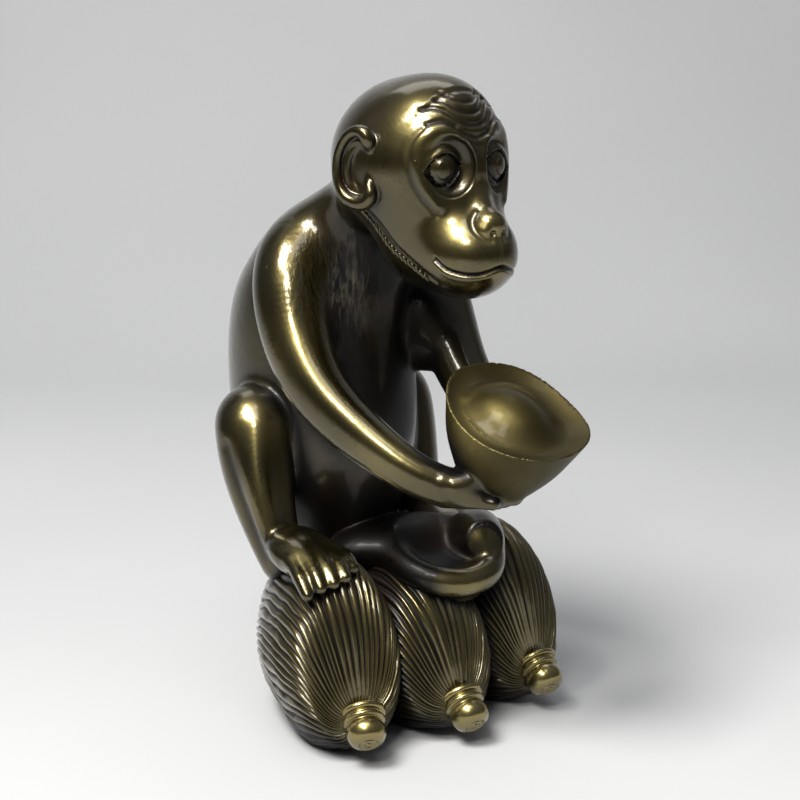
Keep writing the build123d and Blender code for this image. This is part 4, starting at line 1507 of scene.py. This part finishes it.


# Rubbed bright spots; those on the lit side of the head, right arm, knee, ingot end and crown lip
# are also painted highlights.
RUBBED_AND_HIGHLIT = {
    Part.HEAD: (
        Smudge((-1.5, -31.5, 113.0), 4.0, 0.7), Smudge((-8.0, -26.0, 112.0), 5.0, 0.35),
        Smudge((-11.0, -20.0, 130.0), 4.0, 0.4), Smudge((0.0, -32.0, 106.0), 4.0, 0.3),
        Smudge((0.0, -25.5, 121.0), 3.5, 0.3),
    ),
    Part.ARM_RIGHT: (
        Smudge((-24.0, 6.0, 86.0), 7.0, 0.35), Smudge((-17.0, -17.0, 67.0), 6.0, 0.4),
    ),
    Part.LEG_RIGHT: (
        Smudge((-24.0, 17.0, 70.0), 6.0, 0.5), Smudge((-28.0, 12.0, 52.0), 6.0, 0.3),
    ),
    Part.FOOT_RIGHT: (Smudge((-25.0, -8.0, 39.5), 6.0, 0.15),),
    Part.BOWL: (Smudge((-11.0, -36.0, 76.0), 6.0, 0.6),),
    Part.CROWN: (Smudge((4.0, -19.5, 37.0), 7.0, 0.5),),
}
# Painted shade over the chest and belly, between the arms and legs.
CHEST_PAINTED_SHADE = Smudge((0.0, 5.0, 76.0), 21.0, 0.75, (1.0, 1.0, 1.9))
# A darker forehead patch.
FOREHEAD_DARKENING = Smudge((0.0, -21.5, 135.6), 5.5, 0.35, (1.5, 1.0, 0.85))
# Painted shade on the stub and the hands under the ingot, and on the crown behind its front lip.
EVEN_PAINTED_SHADE = {Part.STUB: 0.6, Part.HAND_LEFT: 0.15, Part.HAND_RIGHT: 0.15}
CROWN_PAINTED_SHADE = 0.75
FLANK_FUR = Smudge((-12.0, 8.0, 97.0), 8.0, 1.0, (1.0, 1.0, 1.4))
Finishes = dict[str, bpy.types.Material]


@dataclass
class Figure:
    """The whole casting."""

    skin: Skin = field(default_factory=Skin)
    margin: float = 14.0
    pitch: float = 2.0
    eye_front: float = -20.0
    cap_depth: float = 0.4

    def __post_init__(self) -> None:
        """A coarse grid of distances to everything, for the shade in the wide hollows."""
        low, high = self.skin.bounds()
        self.corner = np.array([low[0], low[1], 0.0]) - self.margin
        count = np.ceil((high + self.margin - self.corner) / self.pitch).astype(int)
        p = self.corner + lattice(count) * self.pitch
        self.room = self.around(p, 13.0).reshape(count)

    def around(self, p: Array, pad: float) -> Array:
        """Distance to the skin, the fruits and the ground."""
        d = self.skin.distance(p, pad)
        for fruit in FRUITS:
            d = np.minimum(d, fruit.distance(p))
        return np.minimum(d, p[:, 2] + 0.5)

    def coarse(self, p: Array) -> Array:
        """Distance to everything, read off the coarse grid."""
        g = (p - self.corner) / self.pitch
        i = np.clip(np.floor(g).astype(int), 0, np.array(self.room.shape) - 2)
        t = np.clip(g - i, 0, 1)
        total = np.zeros(len(p))
        for corner in np.ndindex(2, 2, 2):
            c = np.array(corner)
            weight = np.prod(np.where(c, t, 1 - t), axis=1)
            total += weight * self.room[tuple((i + c).T)]
        return total

    def open_space(self, p: Array, normals: Array) -> Array:
        """How hidden each point is, from 0 in the open to 1 and more in a deep hollow.

        The skin, the fruits and the ground all hide it; the finish turns this into dark patina in
        the hollows and painted shade under and between parts.
        """
        close = 1.3
        total = 0.35 * np.clip(1 - self.around(p + normals * close, 4.0) / close, 0, 1)
        for reach, share in ((4.5, 0.45), (11.0, 0.75)):
            total += share * np.clip(1 - self.coarse(p + normals * reach) / reach, 0, 1)
        return total

    def settle(self, vertices: Array, rounds: int = 2) -> Array:
        """Vertices brought onto the skin."""
        for _ in range(rounds):
            slope, level = self.skin.slope(vertices)
            size = np.maximum(np.linalg.norm(slope, axis=1, keepdims=True), 0.3)
            move = level[:, None] * slope / size**2
            vertices = vertices - np.clip(move, -self.skin.step, self.skin.step)
        return vertices

    def cast(self, finishes: Finishes) -> None:
        """Builds the skin, shares it out among the pieces and closes each one."""
        low, high = self.skin.bounds()
        vertices, quads = net(self.skin.distance, low, high, self.skin.step)
        vertices = self.settle(vertices)
        LOG.info("skin has %d vertices", len(vertices))
        centers = vertices[quads].mean(1)
        names = [form.part for form in self.skin.forms]
        owner = np.array([names.index(part) for part in names])[self.skin.shares(centers)]
        names += [Part.EYE_LEFT, Part.EYE_RIGHT]
        q = folded(centers)
        between = (self.skin.head.opening(q) < 0) & (q[:, 1] < self.eye_front)
        eye = between & (owner == names.index(Part.HEAD))
        owner[eye] = np.where(centers[eye, 0] > 0, len(names) - 2, len(names) - 1)
        owner = tidied(owner, neighbours(quads), len(names))
        for index, part in enumerate(names):
            own = quads[owner == index]
            if not len(own):
                continue
            used, flat = np.unique(own, return_inverse=True)
            points, faces = vertices[used], flat.reshape(-1, 4)
            if part in FINE:
                points, faces = halved(points, faces)
                points = self.settle(points, 1)
            self.piece(part, points, faces, finishes)

    def carving(self, part: Part, points: Array) -> Array:
        """How far a piece's surface is raised or cut by its fine work."""
        if part is Part.HEAD:
            return self.skin.head.relief(points)
        if part is Part.LEG_RIGHT:
            return -0.5 * groove(line(points, CALF_FOLD), 1.6)
        return np.zeros(len(points))

    def piece(self, part: Part, points: Array, faces: Array, finishes: Finishes) -> None:
        """One named piece, carved and with its open edges capped inside the metal."""
        outwards = units(self.skin.slope(points)[0])
        loops = boundary_loops(faces)
        carved = self.carving(part, points)
        points = points + outwards * carved[:, None]
        normals = vertex_normals(points, faces)
        for loop in loops:
            normals[loop] = outwards[loop]
        marks = {
            # Dark patina in the hollows plus painted shade under and between parts, with more
            # painted shade added per part.
            "cavity": self.open_space(points, outwards) + self.shade_and_darkening(part, points),
            "relief": np.clip(1.0 + 1.5 * carved, 0.0, 1.15),
            "rub": self.rubbed_and_highlit(part, points),
            "fur": self.fur(part, points),
        }
        closed = faces.tolist()
        caps, facing = [], []
        for extra, loop in enumerate(loops, len(points)):
            caps.append(points[loop].mean(0) - outwards[loop].mean(0) * self.cap_depth)
            facing.append(normals[loop].mean(0))
            closed += [[a, b, extra] for a, b in zip(loop, loop[1:] + loop[:1])]
        if caps:
            points, normals = np.vstack([points, caps]), np.vstack([normals, facing])
            bare = np.zeros(len(caps))
            marks = {name: np.concatenate([values, bare]) for name, values in marks.items()}
        slot = SLOTS.get(part, MONKEY)
        shell = Shell(part.value, points, closed, normals, marks)
        keep(shell.build(finishes[slot]), slot, part.value)

    def rubbed_and_highlit(self, part: Part, points: Array) -> Array:
        """Where hands and shelves have rubbed the metal bright; the spots on the lit side are
        partly painted highlight.
        """
        rub = np.zeros(len(points))
        for spot in RUBBED_AND_HIGHLIT.get(part, ()):
            rub = np.maximum(rub, spot.over(points))
        return rub

    def shade_and_darkening(self, part: Part, points: Array) -> Array:
        """Painted shade on the chest, belly, left arm and left leg between the limbs, on the crown
        and stub under the ingot and on the hands; the forehead patch is made darker.
        """
        if part in (Part.TORSO, Part.ARM_LEFT, Part.LEG_LEFT):
            return CHEST_PAINTED_SHADE.over(points)
        if part is Part.HEAD:
            return FOREHEAD_DARKENING.over(points)
        if part is Part.CROWN:
            # Painted shade on the crown's dish and back wall under the ingot; only the front lip
            # stays lighter.
            return CROWN_PAINTED_SHADE * ramp(points[:, 1] - 0.5 * points[:, 0], -17.5, -12.5)
        return np.full(len(points), EVEN_PAINTED_SHADE.get(part, 0.0))

    def fur(self, part: Part, points: Array) -> Array:
        """Where the chest and flank are marked with fur."""
        if part in (Part.TORSO, Part.ARM_RIGHT):
            return FLANK_FUR.over(points)
        return np.zeros(len(points))

    def strokes(self, finishes: Finishes) -> None:
        """The cord of short strokes along each side of the jaw."""
        first, gap, lift = 0.4, 1.15, 0.10
        path = self.settle(self.skin.head.laid(JAW_CORD, 12)[:, :3], 4)
        run = np.cumsum(np.linalg.norm(np.diff(path, axis=0), axis=1))
        run = np.concatenate([[0], run])
        stops = np.arange(first, run[-1], gap)
        path = np.stack([np.interp(stops, run, path[:, i]) for i in range(3)], 1)
        ahead = np.gradient(path, axis=0)
        outwards = units(self.skin.slope(path)[0])
        lean = units(ahead) * 0.75 + units(np.cross(outwards, ahead)) * 0.66
        growth = stroke_growth()
        finish = finishes[MONKEY]
        for side, name in ((1, "jaw_cord_left"), (-1, "jaw_cord_right")):
            flip = np.array([side, 1.0, 1.0])
            marks = {"lean": lean * flip, "facing": outwards * flip}
            piece = Shell(name, (path + outwards * lift) * flip, [], None, marks).build(finish)
            growth.grow(
                piece, finish, length=0.0012, width=0.00050, thickness=0.00042, unevenness=0.25
            )
            marked(piece.data, cavity=0.25, relief=1.0)
            ride(piece, MONKEY, name)

    def fruits(self, finishes: Finishes) -> None:
        """The three fruits and their tips."""
        finish = finishes[FRUIT]
        growth = rib_growth()
        for fruit in FRUITS:
            for shell, shade, rub in ((fruit.body(), 1.0, 0.2), (fruit.tip(), 0.5, 0.75)):
                faces = np.array([f if len(f) == 4 else [*f, f[-1]] for f in shell.faces])
                normals = vertex_normals(shell.vertices, faces)
                # Painted shade on the fruits from the ground, the monkey and each other, halved on
                # the worn tips.
                hidden = self.open_space(shell.vertices, normals)
                shell.marks.update(cavity=hidden * shade, rub=np.full(len(hidden), rub))
                piece = shell.build(finish)
                if shell.name == fruit.name:
                    growth.grow(
                        piece, finish,
                        ribs=fruit.ribs, depth=0.00092, wander=0.42, seed=float(fruit.seed),
                    )
                keep(piece, FRUIT, shell.name)


def marked(mesh: bpy.types.Mesh, **values: float) -> None:
    """The same mark on every point of a mesh."""
    for name, value in values.items():
        mark = mesh.attributes.new(name, "FLOAT", "POINT")
        mark.data.foreach_set("value", np.full(len(mesh.vertices), value, np.float32))
    mesh.shade_smooth()


def ride(piece: bpy.types.Object, slot: str, name: str) -> None:
    """A piece that goes with the casting: it is named and hung from the casting's root. Its slot is
    not used.
    """
    piece.name = name
    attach(piece, "root")


def keep(piece: bpy.types.Object, slot: str, node: str) -> None:
    """A finished piece that stands for a CAD node."""
    ride(piece, slot, "cast_" + node)
    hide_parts(node)


# The studio


@dataclass(frozen=True)
class Lamp:
    """A soft square lamp that looks at the figure: degrees, metres, watts and a hex tint."""

    name: str
    azimuth: float
    elevation: float
    away: float
    size: float
    watts: float
    tint: str


LAMPS = (
    Lamp("key", -76.0, 57.0, 0.7, 0.27, 8.6, "#fffdf8"),
    Lamp("low", -50.0, 42.0, 0.7, 0.15, 2.0, "#fffdf8"),
    Lamp("front", -25.0, 66.0, 0.9, 0.3, 1.2, "#fffcf8"),
    Lamp("wall", 150.0, 50.0, 1.0, 0.8, 4.5, "#f7f9ff"),
)


def looking_from(azimuth: float, elevation: float) -> Vector:
    """Direction from the figure to what looks at it."""
    a, e = math.radians(azimuth), math.radians(elevation)
    return Vector((math.sin(a) * math.cos(e), -math.cos(a) * math.cos(e), math.sin(e)))


@dataclass(frozen=True)
class Studio:
    """A pale sweep, soft lamps and the camera."""

    target: Point = (0.0, 0.2, 72.5)
    azimuth: float = -38.0
    elevation: float = 13.0
    distance: float = 400.0
    lens: float = 82.8
    sensor: float = 36.0
    front: float = -0.9
    bend: float = 0.35
    bend_radius: float = 0.25
    wall_height: float = 1.6
    half_width: float = 1.6
    floor_colors: tuple[str, str] = ("#adaeb0", "#b6b7b9")
    room_colors: tuple[str, str] = ("#5d5a56", "#b9bcc0")
    room_light: float = 0.60

    def camera(self) -> None:
        """The camera that took the picture."""
        data = bpy.data.cameras.new("camera")
        data.lens = self.lens
        data.sensor_width = self.sensor
        data.clip_start = 0.01
        data.clip_end = 20.0
        back = looking_from(self.azimuth, self.elevation)
        seen = linked("camera", data)
        seen.location = (Vector(self.target) + back * self.distance) * MM
        seen.rotation_euler = back.to_track_quat("Z", "Y").to_euler()
        bpy.context.scene.camera = seen

    def sweep(self) -> None:
        """The floor that curves up into a wall behind."""
        points = [(self.front, 0.0), (self.bend, 0.0)]
        for step in range(1, 13):
            a = math.pi / 2 * step / 12
            rise = self.bend_radius * (1 - math.cos(a))
            points.append((self.bend + self.bend_radius * math.sin(a), rise))
        points.append((self.bend + self.bend_radius, self.wall_height))
        a = math.radians(self.azimuth)
        back = np.array([-math.sin(a), math.cos(a), 0.0])
        side = np.array([math.cos(a), math.sin(a), 0.0])
        vertices = [
            tuple(back * along + side * reach + np.array([0, 0, height]))
            for along, height in points
            for reach in (-self.half_width, self.half_width)
        ]
        faces = [(2 * i, 2 * i + 1, 2 * i + 3, 2 * i + 2) for i in range(len(points) - 1)]
        mesh = bpy.data.meshes.new("sweep")
        mesh.from_pydata(vertices, [], faces)
        mesh.shade_smooth()
        g = Graph("pale_sweep")
        cloud = g.noise(g.add("ShaderNodeTexCoord").outputs["Object"], Scale=3.0, Detail=2.0)
        color = g.ramp(cloud, tuple(zip((0.3, 0.7), self.floor_colors)))
        shader = g.add("ShaderNodeBsdfPrincipled", None, Base_Color=color, Roughness=0.8)
        mesh.materials.append(g.finish(shader))
        floor = linked("sweep", mesh)
        floor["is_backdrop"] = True

    def hang(self, lamp: Lamp) -> None:
        """One lamp, turned to the figure."""
        data = bpy.data.lights.new(lamp.name, "AREA")
        data.shape = "SQUARE"
        data.size = lamp.size
        data.energy = lamp.watts
        data.color = linear(lamp.tint)[:3]
        back = looking_from(lamp.azimuth, lamp.elevation)
        seen = linked(lamp.name, data)
        seen.location = Vector(self.target) * MM + back * lamp.away
        seen.rotation_euler = back.to_track_quat("Z", "Y").to_euler()

    def room(self) -> None:
        """The dim light of the room, darker below than above."""
        world = bpy.data.worlds.new("room")
        bpy.context.scene.world = world
        world.use_nodes = True
        tree = world.node_tree
        back = tree.nodes["Background"]
        place = tree.nodes.new("ShaderNodeTexCoord")
        split = tree.nodes.new("ShaderNodeSeparateXYZ")
        shade = tree.nodes.new("ShaderNodeValToRGB")
        tree.links.new(place.outputs["Generated"], split.inputs[0])
        tree.links.new(split.outputs["Z"], shade.inputs[0])
        tree.links.new(shade.outputs[0], back.inputs[0])
        for element, code in zip(shade.color_ramp.elements, self.room_colors):
            element.color = linear(code)
        back.inputs[1].default_value = self.room_light

    def build(self) -> None:
        """Everything round the figure."""
        self.camera()
        self.sweep()
        self.room()
        for lamp in LAMPS:
            self.hang(lamp)
        bpy.context.scene.view_settings.view_transform = "Standard"


INGOT_LOOK = {"rubbed": "#4f4729", "earth": "#452909", "roughness": 0.48, "wax": 0.08}


def main() -> None:
    """Builds the figure and its studio."""
    logging.basicConfig(level=logging.INFO, format="%(message)s")
    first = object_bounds()
    finishes = {
        MONKEY: AgedBrass(MONKEY).build(),
        INGOT: AgedBrass(INGOT, **INGOT_LOOK).build(),
        FRUIT: AgedBrass(FRUIT).build(),
    }
    figure = Figure()
    figure.cast(finishes)
    figure.strokes(finishes)
    figure.fruits(finishes)
    Studio().build()
    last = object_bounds()
    [[list(corner) for corner in box] for box in (first, last)]


if __name__ == "__main__":
    main()
